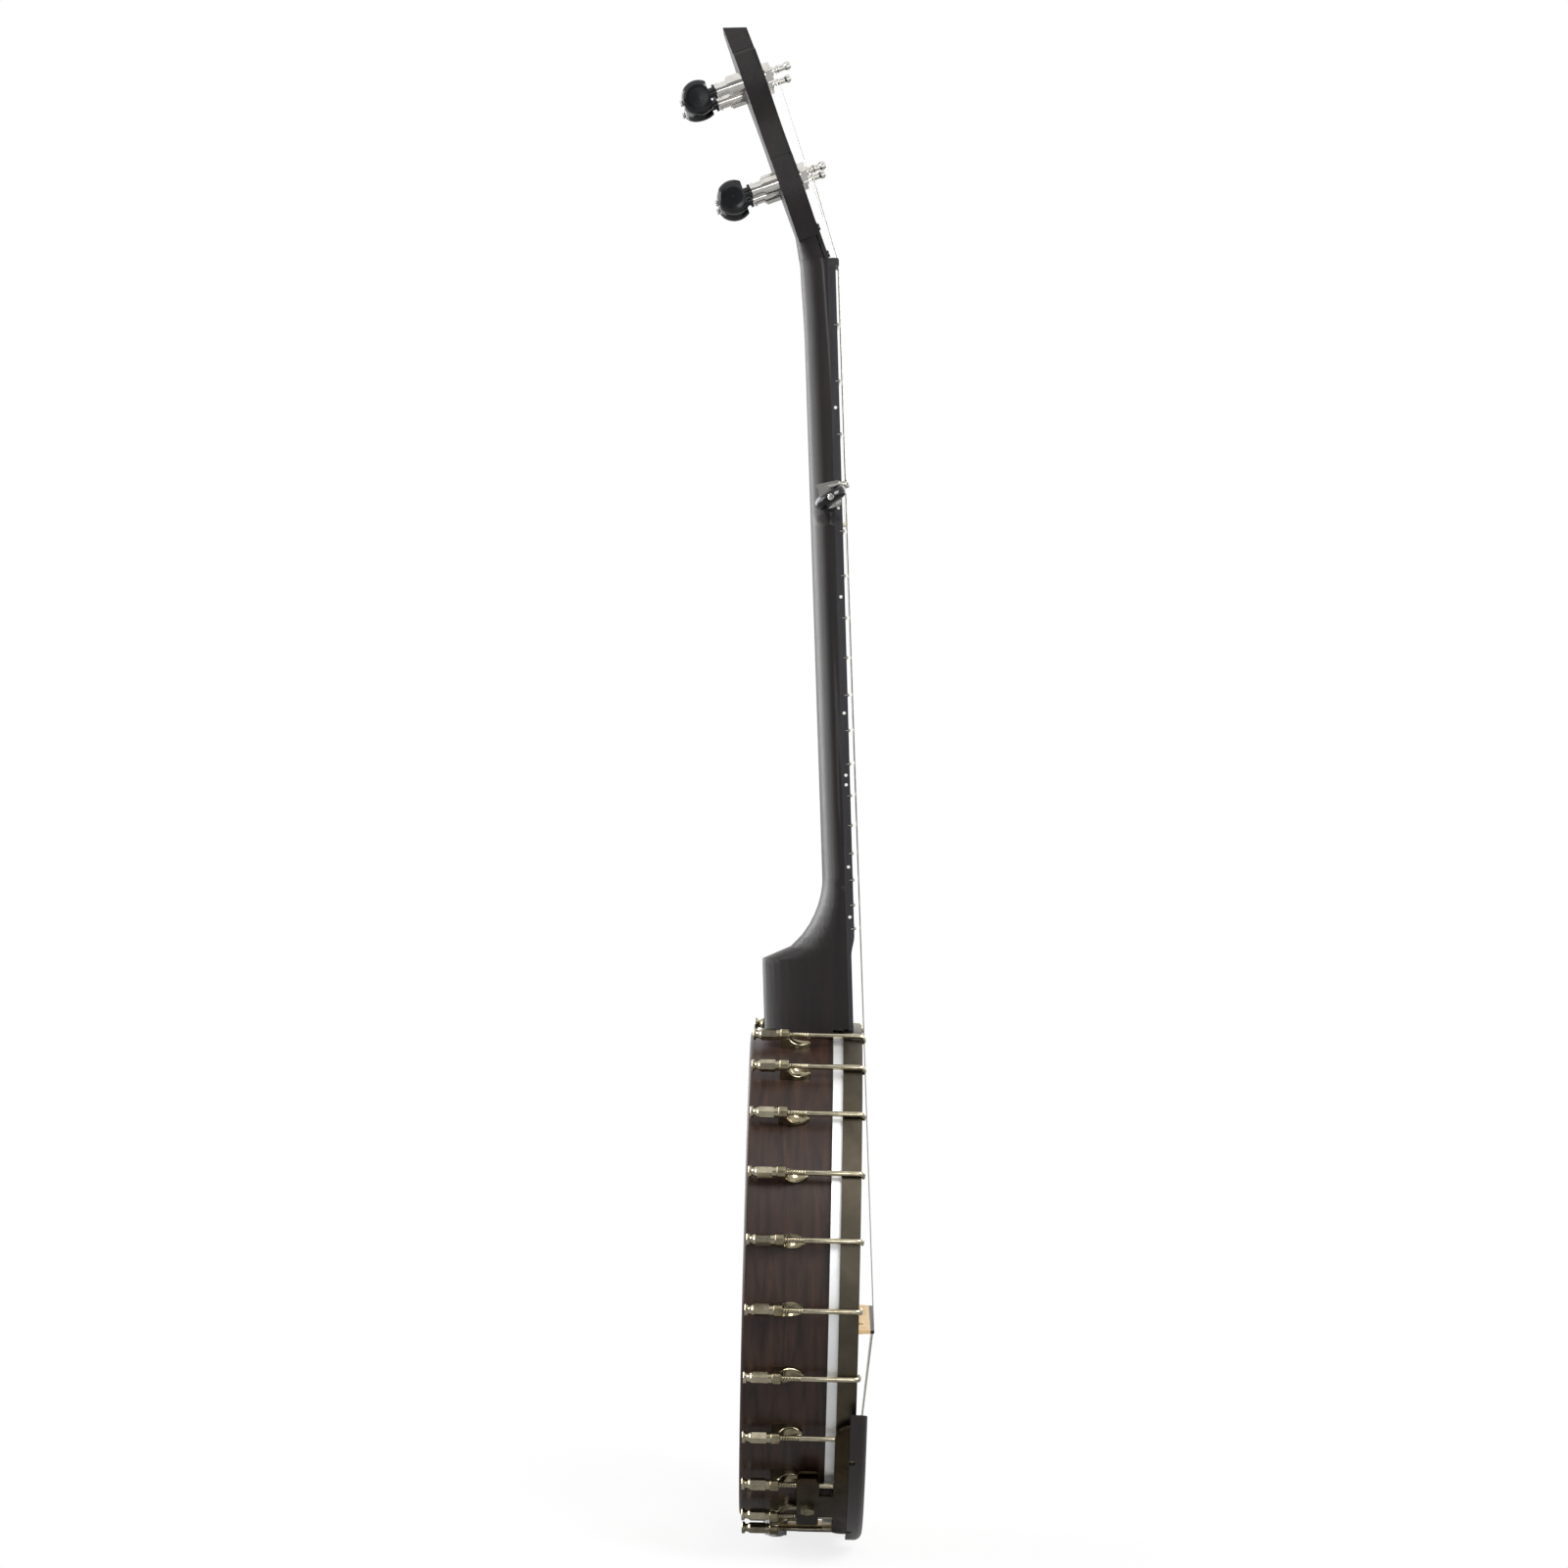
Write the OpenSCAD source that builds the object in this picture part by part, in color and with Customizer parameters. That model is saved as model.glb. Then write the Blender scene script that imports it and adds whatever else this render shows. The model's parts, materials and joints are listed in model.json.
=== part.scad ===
// Five-string open-back banjo, standing neck up.
// X runs across the strings (bass side at -X), -Y is the playing face, +Z runs up the neck.
// The origin lies on the pot's lowest line, at the middle of its depth, on the centre plane.

/* [Pot] */
// Outer radius of the wooden rim
rim_radius = 152.4; // [147:0.1:158]
// Thickness of the rim's wall
rim_wall = 13; // [11:0.5:15]
// Depth of the pot, from the head's face to the rim's back edge
pot_depth = 66; // [62:1:74]
// Radius of the rim's rounded back edges
rim_round = 2.4; // [1:0.1:4]
// Depth of the tone ring that the head bears on
tone_depth = 7; // [5:0.5:9]
// Width of the tone ring
tone_width = 8; // [6:0.5:10]
// Thickness of the head's skin
head_thickness = 0.4; // [0.3:0.05:0.6]
// Room for the head's skirt between the rim and the flesh hoop
skirt_room = 0.7; // [0.6:0.1:1]

/* [Hoops] */
// How far the tension hoop stands in front of the head's face
hoop_proud = 4.1; // [3:0.1:5.5]
// Depth of the tension hoop
hoop_depth = 11.9; // [10:0.1:14]
// Thickness of the tension hoop's skirt, outside the flesh hoop
hoop_skirt = 2.4; // [1.8:0.1:3]
// Width of the tension hoop's front lip
hoop_lip = 4.2; // [3.6:0.1:5]
// Thickness of the flesh hoop
flesh_width = 2.4; // [1.8:0.1:3]
// Depth of the flesh hoop
flesh_depth = 12; // [10:0.5:14]
// How much of the flesh hoop shows behind the tension hoop
flesh_show = 6.1; // [4:0.1:8]
// Gap between the two hoops
hoop_fit = 0.2; // [0.1:0.05:0.4]
// Depth of the groove that takes the hooks' tips
groove_depth = 1.5; // [1:0.1:2]

/* [Hooks] */
// Places for hooks round the pot; the ones at the neck and the tailpiece stay empty
hook_places = 24; // [20:2:28]
// Diameter of a hook's rod
rod_diameter = 3.5; // [3:0.1:4]
// Gap between the hoop and the hooks' rods
rod_gap = 0.25; // [0.1:0.05:0.6]
// Thickness of a hook's flat claw
claw_thickness = 2.2; // [1.6:0.1:2.6]
// Width of a hook's flat claw
claw_width = 4.6; // [4:0.1:6]
// Distance from the rim's back edge to the back of a shoe
shoe_setback = 19; // [17:0.5:24]
// Length of a shoe along the rim
shoe_length = 19; // [16:0.5:24]
// Width of a shoe
shoe_width = 9; // [8:0.5:12]
// Diameter of the shoe's boss
boss_diameter = 7.9; // [7:0.1:8.4]
// Length of the shoe's boss
boss_length = 5.5; // [4:0.5:8]
// Diameter of the bolt that holds a shoe
shoe_bolt_diameter = 4; // [3:0.5:5]
// Width across the flats of a hook nut
hook_nut_flats = 6.6; // [6:0.1:7.4]
// Length of a hook nut's hexagon
hook_nut_hex = 10; // [8:0.1:11]
// Length of a hook nut's plain collar
hook_nut_collar = 2.1; // [1.6:0.1:3]
// Diameter of a hook nut's end knob
hook_nut_knob = 7.4; // [6.6:0.1:7.8]
// Running gap between a rod and the hole round it
thread_gap = 0.05; // [0.02:0.01:0.1]

/* [Neck] */
// Vibrating length of the strings, from nut to bridge
scale_length = 666.75; // [640:0.25:690]
// Number of frets
fret_count = 17; // [15:1:18]
// Lean of the neck back from the pot's face, in degrees
neck_tilt = 2.93; // [2.5:0.01:3.4]
// Distance of the bridge below the pot's centre
bridge_drop = 28.6; // [20:0.1:40]
// Height of the fingerboard's plane above the head at the bridge
board_rise = 10.4; // [9.6:0.1:11.4]
// Thickness of the fingerboard
board_thickness = 5; // [4:0.5:7]
// Width of the neck at the nut
nut_width = 32; // [30:0.5:36]
// Half width of a full five-string neck at the nut
full_half = 18.6; // [17.5:0.1:20]
// Half width of the neck at the pot
heel_half = 24.5; // [23:0.5:27]
// Depth of the neck's wood at the nut
wood_nut = 15.9; // [14:0.1:19]
// Depth of the neck's wood above the heel
wood_heel = 14.1; // [12.5:0.1:18]
// Extra depth of the neck where the peghead starts
volute = 1.3; // [0:0.1:3]
// Depth of the heel, from the fingerboard's face to the heel's back
heel_depth = 58.4; // [54:0.1:60]
// Length of the heel's straight back
heel_height = 50; // [40:1:60]
// Length of the curve that leads into the heel
heel_curve = 50; // [40:1:70]
// Depth of the scoop between the last fret and the pot
scoop_depth = 2.2; // [1:0.1:3]
// Length of the slope that leads into the scoop
scoop_slope = 13; // [8:1:18]
// Width of a fret's crown
fret_crown = 2.2; // [1.8:0.1:2.6]
// Diameter of the fingerboard's dots
dot_diameter = 6; // [4:0.5:7]
// Diameter of the dots on the neck's edge
side_dot_diameter = 2; // [1.5:0.1:2.5]
// Thickness of the nut
nut_thickness = 4.6; // [4:0.1:6]
// Height of the nut above the fingerboard
nut_height = 2.2; // [1.8:0.1:2.8]
// Diameter of the truss rod
truss_diameter = 6; // [5:0.5:7]

/* [Peghead] */
// Lean of the peghead back from the neck, in degrees
peghead_angle = 18; // [14:0.5:20]
// Length of the peghead
peghead_length = 153; // [150:1:165]
// Thickness of the peghead with its veneer
peghead_thickness = 14; // [12:0.5:16]
// Thickness of the peghead's veneer
veneer = 2; // [1:0.5:3]
// Distance of the peghead's face behind the fingerboard's face
head_step = 4.4; // [4:0.1:5]
// Half width of the peghead's lower bout
lower_bout = 31.5; // [30:0.5:34]
// Half width of the peghead's waist
waist = 25; // [22:0.5:28]
// Half width of the peghead's upper bout
upper_bout = 36.5; // [34:0.5:40]
// Half width of the peghead's crown
crown_half = 22; // [18:0.5:26]
// Height of the lower tuners above the nut
lower_tuner_s = 55; // [50:0.5:58]
// Half distance between the lower tuners
lower_tuner_half = 22; // [20:0.5:24]
// Height of the upper tuners above the nut
upper_tuner_s = 120.4; // [116:0.1:124]
// Half distance between the upper tuners
upper_tuner_half = 27; // [24:0.5:29]

/* [Tuners] */
// Diameter of a tuner's case
case_diameter = 13; // [12:0.1:15]
// Length of a tuner's case
case_length = 10.5; // [8:0.5:13]
// Diameter of a tuner's bearing collar
collar_diameter = 8.6; // [7.6:0.1:10]
// Length of a tuner's bearing collar
collar_length = 7; // [5:0.5:9]
// Diameter of a tuner's threaded barrel
barrel_diameter = 9.8; // [9:0.1:10.4]
// Diameter of a tuner's string post
post_diameter = 6; // [5.4:0.1:6.4]
// Diameter of a post's waist, where the string winds
post_waist = 4; // [3.4:0.1:4.6]
// Height of a post above the peghead's face
post_height = 17.5; // [16:0.5:20]
// Width across the flats of a barrel nut
barrel_nut_flats = 12; // [11.5:0.1:13]
// Height of a barrel nut
barrel_nut_height = 4; // [3:0.5:5]
// Thickness of the washer under a barrel nut
barrel_washer = 0.8; // [0.5:0.1:1.2]
// Width of a tuner button
button_width = 22; // [20:0.5:24]
// Length of a tuner button along its shaft
button_length = 18; // [16:0.5:20]
// Thickness of a tuner button
button_thickness = 9; // [7:0.5:11]
// Diameter of a button's shaft
shaft_diameter = 4; // [3:0.1:4.5]
// Gap between parts that turn against each other
run_gap = 0.3; // [0.2:0.05:0.4]
// Radial clearance of a shaft in its bearing
bearing_gap = 0.06; // [0.03:0.01:0.1]

/* [Fifth-string peg] */
// Distance of the fifth-string peg above the fifth fret
peg5_above = 20.25; // [18:0.25:30]
// Turn of the peg's housing on the neck's side, in degrees
peg5_turn = 10; // [0:1:14]
// Depth of the button shaft behind the fingerboard's face
peg5_depth = 7.5; // [6.5:0.5:9]
// Length of the housing across the neck's side
peg5_box = 13; // [12:0.5:14]
// Height of the housing along the neck
peg5_rise = 15; // [14:0.5:16]
// Width of the housing, out from the neck's side
peg5_out = 9; // [8:0.5:11]
// Distance between the button shaft and the string post
peg5_offset = 7; // [6.6:0.1:8]
// Diameter of the toothed bearing nut
ring_nut_diameter = 12.6; // [11:0.2:14]
// Teeth on the bearing nut
ring_nut_teeth = 28; // [20:1:36]

/* [Bridge and tailpiece] */
// Height of the bridge
bridge_height = 15.9; // [14:0.1:17.5]
// Length of the bridge
bridge_length = 84; // [78:1:90]
// Thickness of the bridge at its feet
bridge_thickness = 3.2; // [2.6:0.1:4]
// Height of the bridge's dark cap
cap_height = 2.4; // [1.6:0.1:3]
// Spacing of the strings at the bridge
bridge_spacing = 10.7; // [10:0.1:11.4]
// Turn of the bridge that sets the bass side nearer the tailpiece, in degrees
bridge_turn = 2.6; // [0:0.1:4]
// Distance from the strings' hitch pins to the pot's lowest line
hitch_z = 40; // [34:1:48]
// Spacing of the hitch pins
hitch_spacing = 5.6; // [5:0.1:6.4]
// Thickness of the tailpiece's plate
tail_plate = 1.6; // [1.2:0.1:2]
// Diameter of the coordinator rod
coordinator_diameter = 9.5; // [8:0.5:12]
// Distance of the coordinator rod behind the middle of the pot's depth
coordinator_y = 10; // [4:1:13]

/* [Armrest] */
// Angle of the armrest's middle below the pot's centre, in degrees
rest_middle = 50; // [44:1:53]
// Angle that the armrest spans, in degrees
rest_span = 56; // [50:1:60]
// Distance of the armrest's outer edge beyond its bracket
rest_over = 2.5; // [2:0.1:5]
// Width of the armrest's board at its middle
rest_width = 36; // [28:1:42]
// Thickness of the armrest's board
rest_board = 4.2; // [3.5:0.1:6]
// Thickness of the armrest's metal bracket
bracket_plate = 1.6; // [1.2:0.1:2]
// Angle that the clamp's plates span, in degrees
clamp_span = 21; // [20:0.5:24]

/* [Hidden] */
$fn = 64;
eps = 0.01;
overcut = 5;
seat_gap = 0.05;

// Pot, along Y
face_y = -pot_depth / 2;
back_y = pot_depth / 2;
rim_front_y = face_y + head_thickness + tone_depth;
hoop_front_y = face_y - hoop_proud;
hoop_back_y = hoop_front_y + hoop_depth;
flesh_back_y = hoop_back_y + flesh_show;
flesh_front_y = flesh_back_y - flesh_depth;
// Pot, outwards from its axis
rim_inner = rim_radius - rim_wall;
flesh_inner = rim_radius + skirt_room;
flesh_outer = flesh_inner + flesh_width;
hoop_outer = flesh_outer + hoop_fit + hoop_skirt;
lip_inner = hoop_outer - hoop_lip;
groove_width = 2.1;
groove_slack = 0.15;
groove_radius = lip_inner + hoop_lip / 2 - 0.2;
rod_radius = rod_diameter / 2;
hook_radius = hoop_outer + rod_gap + rod_radius;
hook_step = 360 / hook_places;
hook_angles = [for (k = [1 : hook_places / 2 - 1], side = [1, -1]) side * k * hook_step];
shoe_back_y = back_y - shoe_setback;
nut_front_y = shoe_back_y + seat_gap;
hook_end_y = nut_front_y + hook_nut_collar + hook_nut_hex - 1;
bolt_seat_y = shoe_back_y - shoe_length * 0.36;
lag_y = coordinator_y - 24;
lag_diameter = 6.4;
lag_bore = lag_diameter / 2 + seat_gap;
lag_reach = 24;
shoe_bore = shoe_bolt_diameter / 2 + seat_gap;
rod_bore = rod_radius + thread_gap;
// Tone ring's bead, which the head bends over
bead_radius = 2;
bead_y = face_y + head_thickness + bead_radius;
tone_inner = rim_radius - tone_width;
// Shoes: a boss round the hook's rod on a foot, and a pointed tongue along the rim
boss_height = hook_radius - rim_radius;
tongue_low = 1.7;
tongue_lip = 2.9;
tongue_plan = [[0, 0.74], [0.28, 0.74], [0.4, 0.94], [0.52, 1], [0.68, 0.9], [0.84, 0.6], [0.95, 0.28],
    [1, 0.08]];
bolt_head_flats = 7;
bolt_head_height = 3;
bolt_rise = 1.8;
// Hook nuts: a collar with a ring, a hexagon, a waist and a closed knob
nut_ring = 0.5;
nut_waist = 4.8;
nut_end_length = 5.1;
nut_knob_length = 1.9;
nut_edge = 0.5;
// Inside the pot: the rod from the neck's end of the rim to the tail's end, with nuts and washers on it
rod_bore_outer = coordinator_diameter / 2 + seat_gap;
rod_top_z = 2 * rim_radius - rim_wall - 1.5;
rod_seat_z = rim_wall + 0.7;
rod_tap = 14;
rod_nut_flats = 15;
rod_nut_height = 6.4;
rod_washer = 9;
rod_washer_height = 0.9;
rod_nut_z = rod_seat_z + rod_washer_height;
rod_spacer = 7.6;
lag_head_flats = 11;
lag_head_height = 4.4;
lag_washer = 1.4;
tail_strap_z = rim_radius - hoop_outer - 0.8;
tail_nut_z = tail_strap_z - tail_plate - seat_gap;
tail_nut_flats = 14;
tail_nut_height = 6;

// Neck, in its own frame: face at y = 0, nut's front edge at z = 0, frets at z = -L
bridge_z = rim_radius - bridge_drop;
nut_y = face_y - board_rise + scale_length * sin(neck_tilt);
nut_z = bridge_z + scale_length * cos(neck_tilt);
neck_l = (nut_z - 2 * rim_radius) / cos(neck_tilt);
heel_l = neck_l - heel_height;
curve_l = heel_l - heel_curve;
taper = (heel_half - full_half) / neck_l;
narrow_half = nut_width - full_half;
head_x = full_half - nut_width / 2;
fifth_fret_l = fret_at(5);
peg5_l = fifth_fret_l - peg5_above;
shoulder_top = peg5_l + 8;
shoulder_end = fifth_fret_l - 3.5;
pip_l = fifth_fret_l - 4;
pip_x = -(bass_half(pip_l) - 3);
board_end_l = neck_l + 8;
board_half_room = 60;
scoop_l = fret_at(fret_count) + 4;
fret_overhang = 0.4;
tang_half = 0.25;
tang_depth = 2;
dot_depth = 1.4;
octave_half = 10;
side_octave_half = 3;
pip_radius = 1.5;
pip_depth = 2.9;
truss_cover = 0.5;
truss_end = 12;
nut_margin = 3.4;
nut_string = 1.5;
string_radius = [0.13, 0.15, 0.18, 0.28, 0.13];
dot_frets = [3, 5, 7, 10, 12, 15, 17];
slot_room = 0.06;
slot_fall = peghead_angle + neck_tilt;
flare_width = 1.2;
wire_sides = 8;
loft_sides = 18;
shoulder_steps = 7;

// Peghead, in its own frame: face at y = 0, upwards along z
tuner_places = [[-lower_tuner_half, lower_tuner_s], [-upper_tuner_half, upper_tuner_s],
    [upper_tuner_half, upper_tuner_s], [lower_tuner_half, lower_tuner_s]];
button_turns = [4, -6, 55, 28];
ear_s = peghead_length - 86;
crown_s = peghead_length - 17;
blend_s = 19;
nut_step = 0.1;
cover_length = 26;
cover_half = 8;
cover_plate = 0.9;
cover_screw_inset = 4;
cover_screw_radius = 2.2;
cover_screw_head = 1.2;
cover_hole = 0.9;
driver_slot = 0.3;
barrel_bore = barrel_diameter / 2 + seat_gap;
post_bore = post_diameter / 2 + bearing_gap;
nut_top = barrel_washer + barrel_nut_height;
barrel_top = nut_top - 0.5;
tuner_post_low = 2.4 - peghead_thickness;
string_turns = 4;
waist_low = nut_top + 2;
wind_y = -(waist_low + 1.2);
case_end = peghead_thickness + case_length;
collar_end = case_end + collar_length;
button_start = collar_end + run_gap;
stem_length = 4.5;
stem_radius = 3.3;
stem_flange = 4.7;
stem_flange_length = 1.8;
case_step = 1.1;
case_bore = 6;
collar_ring = 0.7;
post_knob = post_diameter / 2 - 0.3;
button_hole = 1.1;
button_hole_depth = 6;
screw_radius = 1;
screw_head_radius = 2;
screw_head = 1.1;
shaft_end = collar_length + 4;

// Fifth-string peg, in its own frame on the neck's side
shank_radius = 2.3;
shank_length = 8.5;
peg5_low = -5.2;
peg5_high = peg5_rise + peg5_low;
peg5_flange = 0.8;
peg5_cap = 1.1;
peg5_collar_radius = 3.9;
peg5_collar = 1.6;
peg5_post_r = 2.4;
peg5_knob = 2.7;
ring_nut_length = 2.4;
ring_nut_tooth = 0.35;
ring_nut_depth = 0.6;
peg5_button_turn = 33;
peg5_button_x = -peg5_out - peg5_cap - ring_nut_length - run_gap;
peg5_x = -(bass_half(peg5_l + peg5_rise / 2) + seat_gap);
peg5_post_x = -6.2;
peg5_wind_y = -peg5_box / 2 - 2.9;
peg5_wind_x = post_waist / 2 + string_radius[4] + run_gap;

// Bridge and tailpiece
foot_half = 4.5;
bridge_slope = 0.12;
bridge_crest = 0.3;
arch_height = bridge_height * 0.38;
arch_radius = bridge_height * 0.22;
arch_half = bridge_length / 4 - foot_half - 2.5;
tail_back_y = hoop_front_y - 1.2;
tail_front_y = tail_back_y - tail_plate;
tail_half = 15;
strap_half = 8;
tail_low = 14;
tail_wide = 28;
tail_edge = hitch_z + 4;
hitch_pin_r = 0.9;
hitch_pin_head = 0.8;
hitch_pin_rise = 3;
button_end = button_start + stem_length + button_length;

// Armrest
rest_low = rest_middle - rest_span / 2;
plate_inner = hook_radius + rod_radius + seat_gap;
plate_outer = plate_inner + bracket_plate;
clamp_middle = 3.5 * hook_step;
clamp_front_y = flesh_back_y + 3;
clamp_depth = 13.5;
clamp_back_y = clamp_front_y + clamp_depth;
plate_low = rest_low + 4;
plate_high = rest_low + rest_span - 6;
bracket_arm = 14;
clamp_half = plate_outer * sin(clamp_span / 2);
plate_front_y = hoop_front_y + seat_gap;
plate_lip_y = hoop_back_y + 0.5;
board_back_y = hoop_front_y - claw_thickness - run_gap;
board_front_y = board_back_y - rest_board;
board_round = 5;
board_lip = 6;
rest_outer = plate_outer + rest_over;
rest_inner = rest_outer - rest_width;
lens_sag = 17;
clamp_inner = hook_radius - rod_radius - seat_gap - bracket_plate;
bracket_round = 9;
clamp_round = 3;
rest_bolt_diameter = 4;
rest_bolt_bore = rest_bolt_diameter / 2 + seat_gap;
rest_bolt_flats = 8;
rest_bolt_head = 3.2;
rest_screw_radius = 1.2;
rest_screw_head = 1.9;
rest_screw_ends = 13;
rest_screw_y = (plate_front_y + board_back_y + board_lip) / 2;

function lerp(a, b, t) = a + (b - a) * t;
function ramp(a, b, x) = max(0, min(1, (x - a) / (b - a)));
function smooth(a, b, x) = let (t = ramp(a, b, x)) t * t * (3 - 2 * t);
function fret_at(n) = scale_length * (1 - pow(2, -n / 12));
function treble_half(l) = full_half + taper * l;
function bass_half(l) = lerp(narrow_half, full_half, smooth(shoulder_top, shoulder_end, l)) + taper * l;
function ease(a, b, n) = [for (i = [0 : n]) let (t = i / n)
    [lerp(a.x, b.x, (1 - cos(180 * t)) / 2), lerp(a.y, b.y, t)]];
function signed_pow(v, e) = sign(v) * pow(abs(v), e);
function unit(v) = v / norm(v);

// Right-hand edge of the peghead's outline, from the nut to its crown
function head_edge() = concat(
    ease([nut_width / 2, 0], [lower_bout, ear_s - 14], 12),
    [[lower_bout - 0.5, ear_s]],
    ease([lower_bout - 4, ear_s + 2], [waist, ear_s + 16], 4),
    ease([waist, ear_s + 18], [upper_bout, crown_s - 12], 8),
    [[upper_bout - 1.5, crown_s]],
    ease([crown_half + 4, crown_s + 3], [crown_half, crown_s + 11], 3),
    ease([crown_half - 2, crown_s + 12], [crown_half - 9, peghead_length + 8], 4));
function head_outline() = concat(head_edge(),
    [for (i = [len(head_edge()) - 1 : -1 : 0]) [-head_edge()[i].x, head_edge()[i].y]]);
function head_half(s) = lookup(s, [for (p = head_edge()) [p.y, p.x]]);

// Neck's loft: top, bottom, half widths and squareness of the section at a distance l from the nut
function head_back(z, t) = head_step + (z - nut_thickness) * tan(peghead_angle) + t / cos(peghead_angle);
function loft_top(l) = -l > nut_thickness ? max(board_thickness, head_back(-l, veneer + 0.6))
    : board_thickness;
function neck_depth(l) = lerp(wood_nut, wood_heel, ramp(0, curve_l, l)) + volute * (1 - smooth(0, 45, l));
function heel_swell(l) = let (u = ramp(curve_l, heel_l, l)) 1 - pow(1 - pow(u, 1.8), 0.5556);
function heel_bottom() = heel_depth - board_thickness - wood_heel;
function loft_bottom(l) = l < 0
    ? lerp(board_thickness + neck_depth(0), head_back(blend_s + nut_thickness, peghead_thickness),
        ramp(0, blend_s + nut_thickness, -l))
    : board_thickness + neck_depth(l) + heel_bottom() * heel_swell(l);
function loft_square(l) = l < 0 ? 0.9 * ramp(0, blend_s + nut_thickness, -l) : 0.55 * heel_swell(l);
function loft_half(l, side) = -l > nut_thickness ? head_half(-l - nut_thickness)
    : (side > 0 ? treble_half(max(l, 0)) : bass_half(max(l, 0)));
function loft_ring(l) = let (e = lerp(0.8, 0.3, loft_square(l)), depth = loft_bottom(l) - loft_top(l),
        shift = -l > nut_thickness ? head_x : 0, pinch = 0.4 * heel_swell(l))
    [for (i = [0 : loft_sides]) let (a = 180 * i / loft_sides, s = pow(sin(a), e))
        [shift + signed_pow(cos(a), e) * loft_half(l, cos(a)) * (1 - pinch * s),
            loft_top(l) + depth * s, -l]];
loft_stations = concat(
    [for (i = [0 : 4]) -lerp(blend_s + nut_thickness, nut_thickness + nut_step, i / 4)],
    [-nut_thickness, 0, 12, 28, 45, 95],
    [for (i = [0 : shoulder_steps]) lerp(shoulder_top, shoulder_end, i / shoulder_steps)],
    [for (i = [1 : 3]) lerp(shoulder_end, curve_l, i / 4)],
    [for (i = [0 : 11]) heel_l - heel_curve * cos(90 * i / 11)],
    [board_end_l]);

function at_neck_point(p) = [p.x, nut_y + p.y * cos(neck_tilt) + p.z * sin(neck_tilt),
    nut_z - p.y * sin(neck_tilt) + p.z * cos(neck_tilt)];
function at_head_point(p) = let (a = peghead_angle) at_neck_point([head_x + p.x,
    head_step + p.y * cos(a) + p.z * sin(a), nut_thickness - p.y * sin(a) + p.z * cos(a)]);

// Strings: the first is the treble one, the fifth is the short one
function bridge_point(i) = [(3 - i) * bridge_spacing, face_y - bridge_height,
    bridge_z + (3 - i) * bridge_spacing * sin(bridge_turn)];
function hitch_point(i) = [(3 - i) * hitch_spacing, tail_front_y - 1.2, hitch_z];
function nut_x(i) = lerp(full_half - nut_margin, -narrow_half + nut_margin, (i - 1) / 3);
function nut_point(i) = at_neck_point([nut_x(i), -nut_string - string_radius[i - 1], nut_thickness / 2]);
function tuner_of(i) = 4 - i;
function wind_reach(i) = post_waist / 2 + string_radius[i - 1] + run_gap;
function post_point(i) = let (p = tuner_places[tuner_of(i)])
    at_head_point([p.x - sign(p.x) * wind_reach(i), wind_y, p.y]);
function pip_point() = at_neck_point([pip_x, -nut_string - string_radius[4], -pip_l]);
function at_peg5_point(p) = let (a = peg5_turn) at_neck_point([peg5_x + p.x,
    peg5_depth + p.y * cos(a) + p.z * sin(a), -peg5_l - p.y * sin(a) + p.z * cos(a)]);
function peg5_post_point() = at_peg5_point([peg5_post_x + peg5_wind_x, peg5_wind_y, peg5_offset]);

module at_neck() translate([0, nut_y, nut_z]) rotate([-neck_tilt, 0, 0]) children();
module at_head() at_neck() translate([head_x, head_step, nut_thickness]) rotate([-peghead_angle, 0, 0])
    children();
module at_tuner(k) let (p = tuner_places[k - 1]) at_head() translate([p.x, 0, p.y]) children();
module at_peg5() at_neck() translate([peg5_x, peg5_depth, -peg5_l]) rotate([-peg5_turn, 0, 0]) children();
module at_pot() translate([0, 0, rim_radius]) children();
module around(a) at_pot() rotate([0, -a, 0]) children();

// A cylinder along Y from y0 to y1
module rod_y(r, y0, y1) translate([0, y0, 0]) rotate([-90, 0, 0]) cylinder(r = r, h = y1 - y0);
// A cylinder along X from x0 to x1
module rod_x(r, x0, x1) translate([x0, 0, 0]) rotate([0, 90, 0]) cylinder(r = r, h = x1 - x0);
// A cylinder along Z from z0 to z1
module rod_z(r, z0, z1) translate([0, 0, z0]) cylinder(r = r, h = z1 - z0);
// A hexagonal bar along Y
module hex_y(flats, y0, y1) translate([0, y0, 0]) rotate([-90, 0, 0])
    cylinder(r = flats / 2 / cos(30), h = y1 - y0, $fn = 6);
// A hexagonal bar along Z
module hex_z(flats, z0, z1) translate([0, 0, z0]) cylinder(r = flats / 2 / cos(30), h = z1 - z0, $fn = 6);
// A plate whose outline is drawn in x and z, from y0 to y1
module plate_y(y0, y1) translate([0, y1, 0]) rotate([90, 0, 0]) linear_extrude(y1 - y0) children();
// A bar whose section is drawn in y and z, from x0 to x1
module bar_x(x0, x1) translate([x0, 0, 0]) rotate([90, 0, 90]) linear_extrude(x1 - x0) children();
// A ring round the pot's axis, its section drawn as radius and y
module pot_ring() at_pot() rotate([-90, 0, 0]) rotate_extrude() children();
// A stretch of such a ring on the bass side, from one angle below the pot's centre to another
module pot_arc(a0, a1) at_pot() rotate([-90, 0, 0]) rotate([0, 0, 180 - a1]) rotate_extrude(angle = a1 - a0)
    children();
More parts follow.
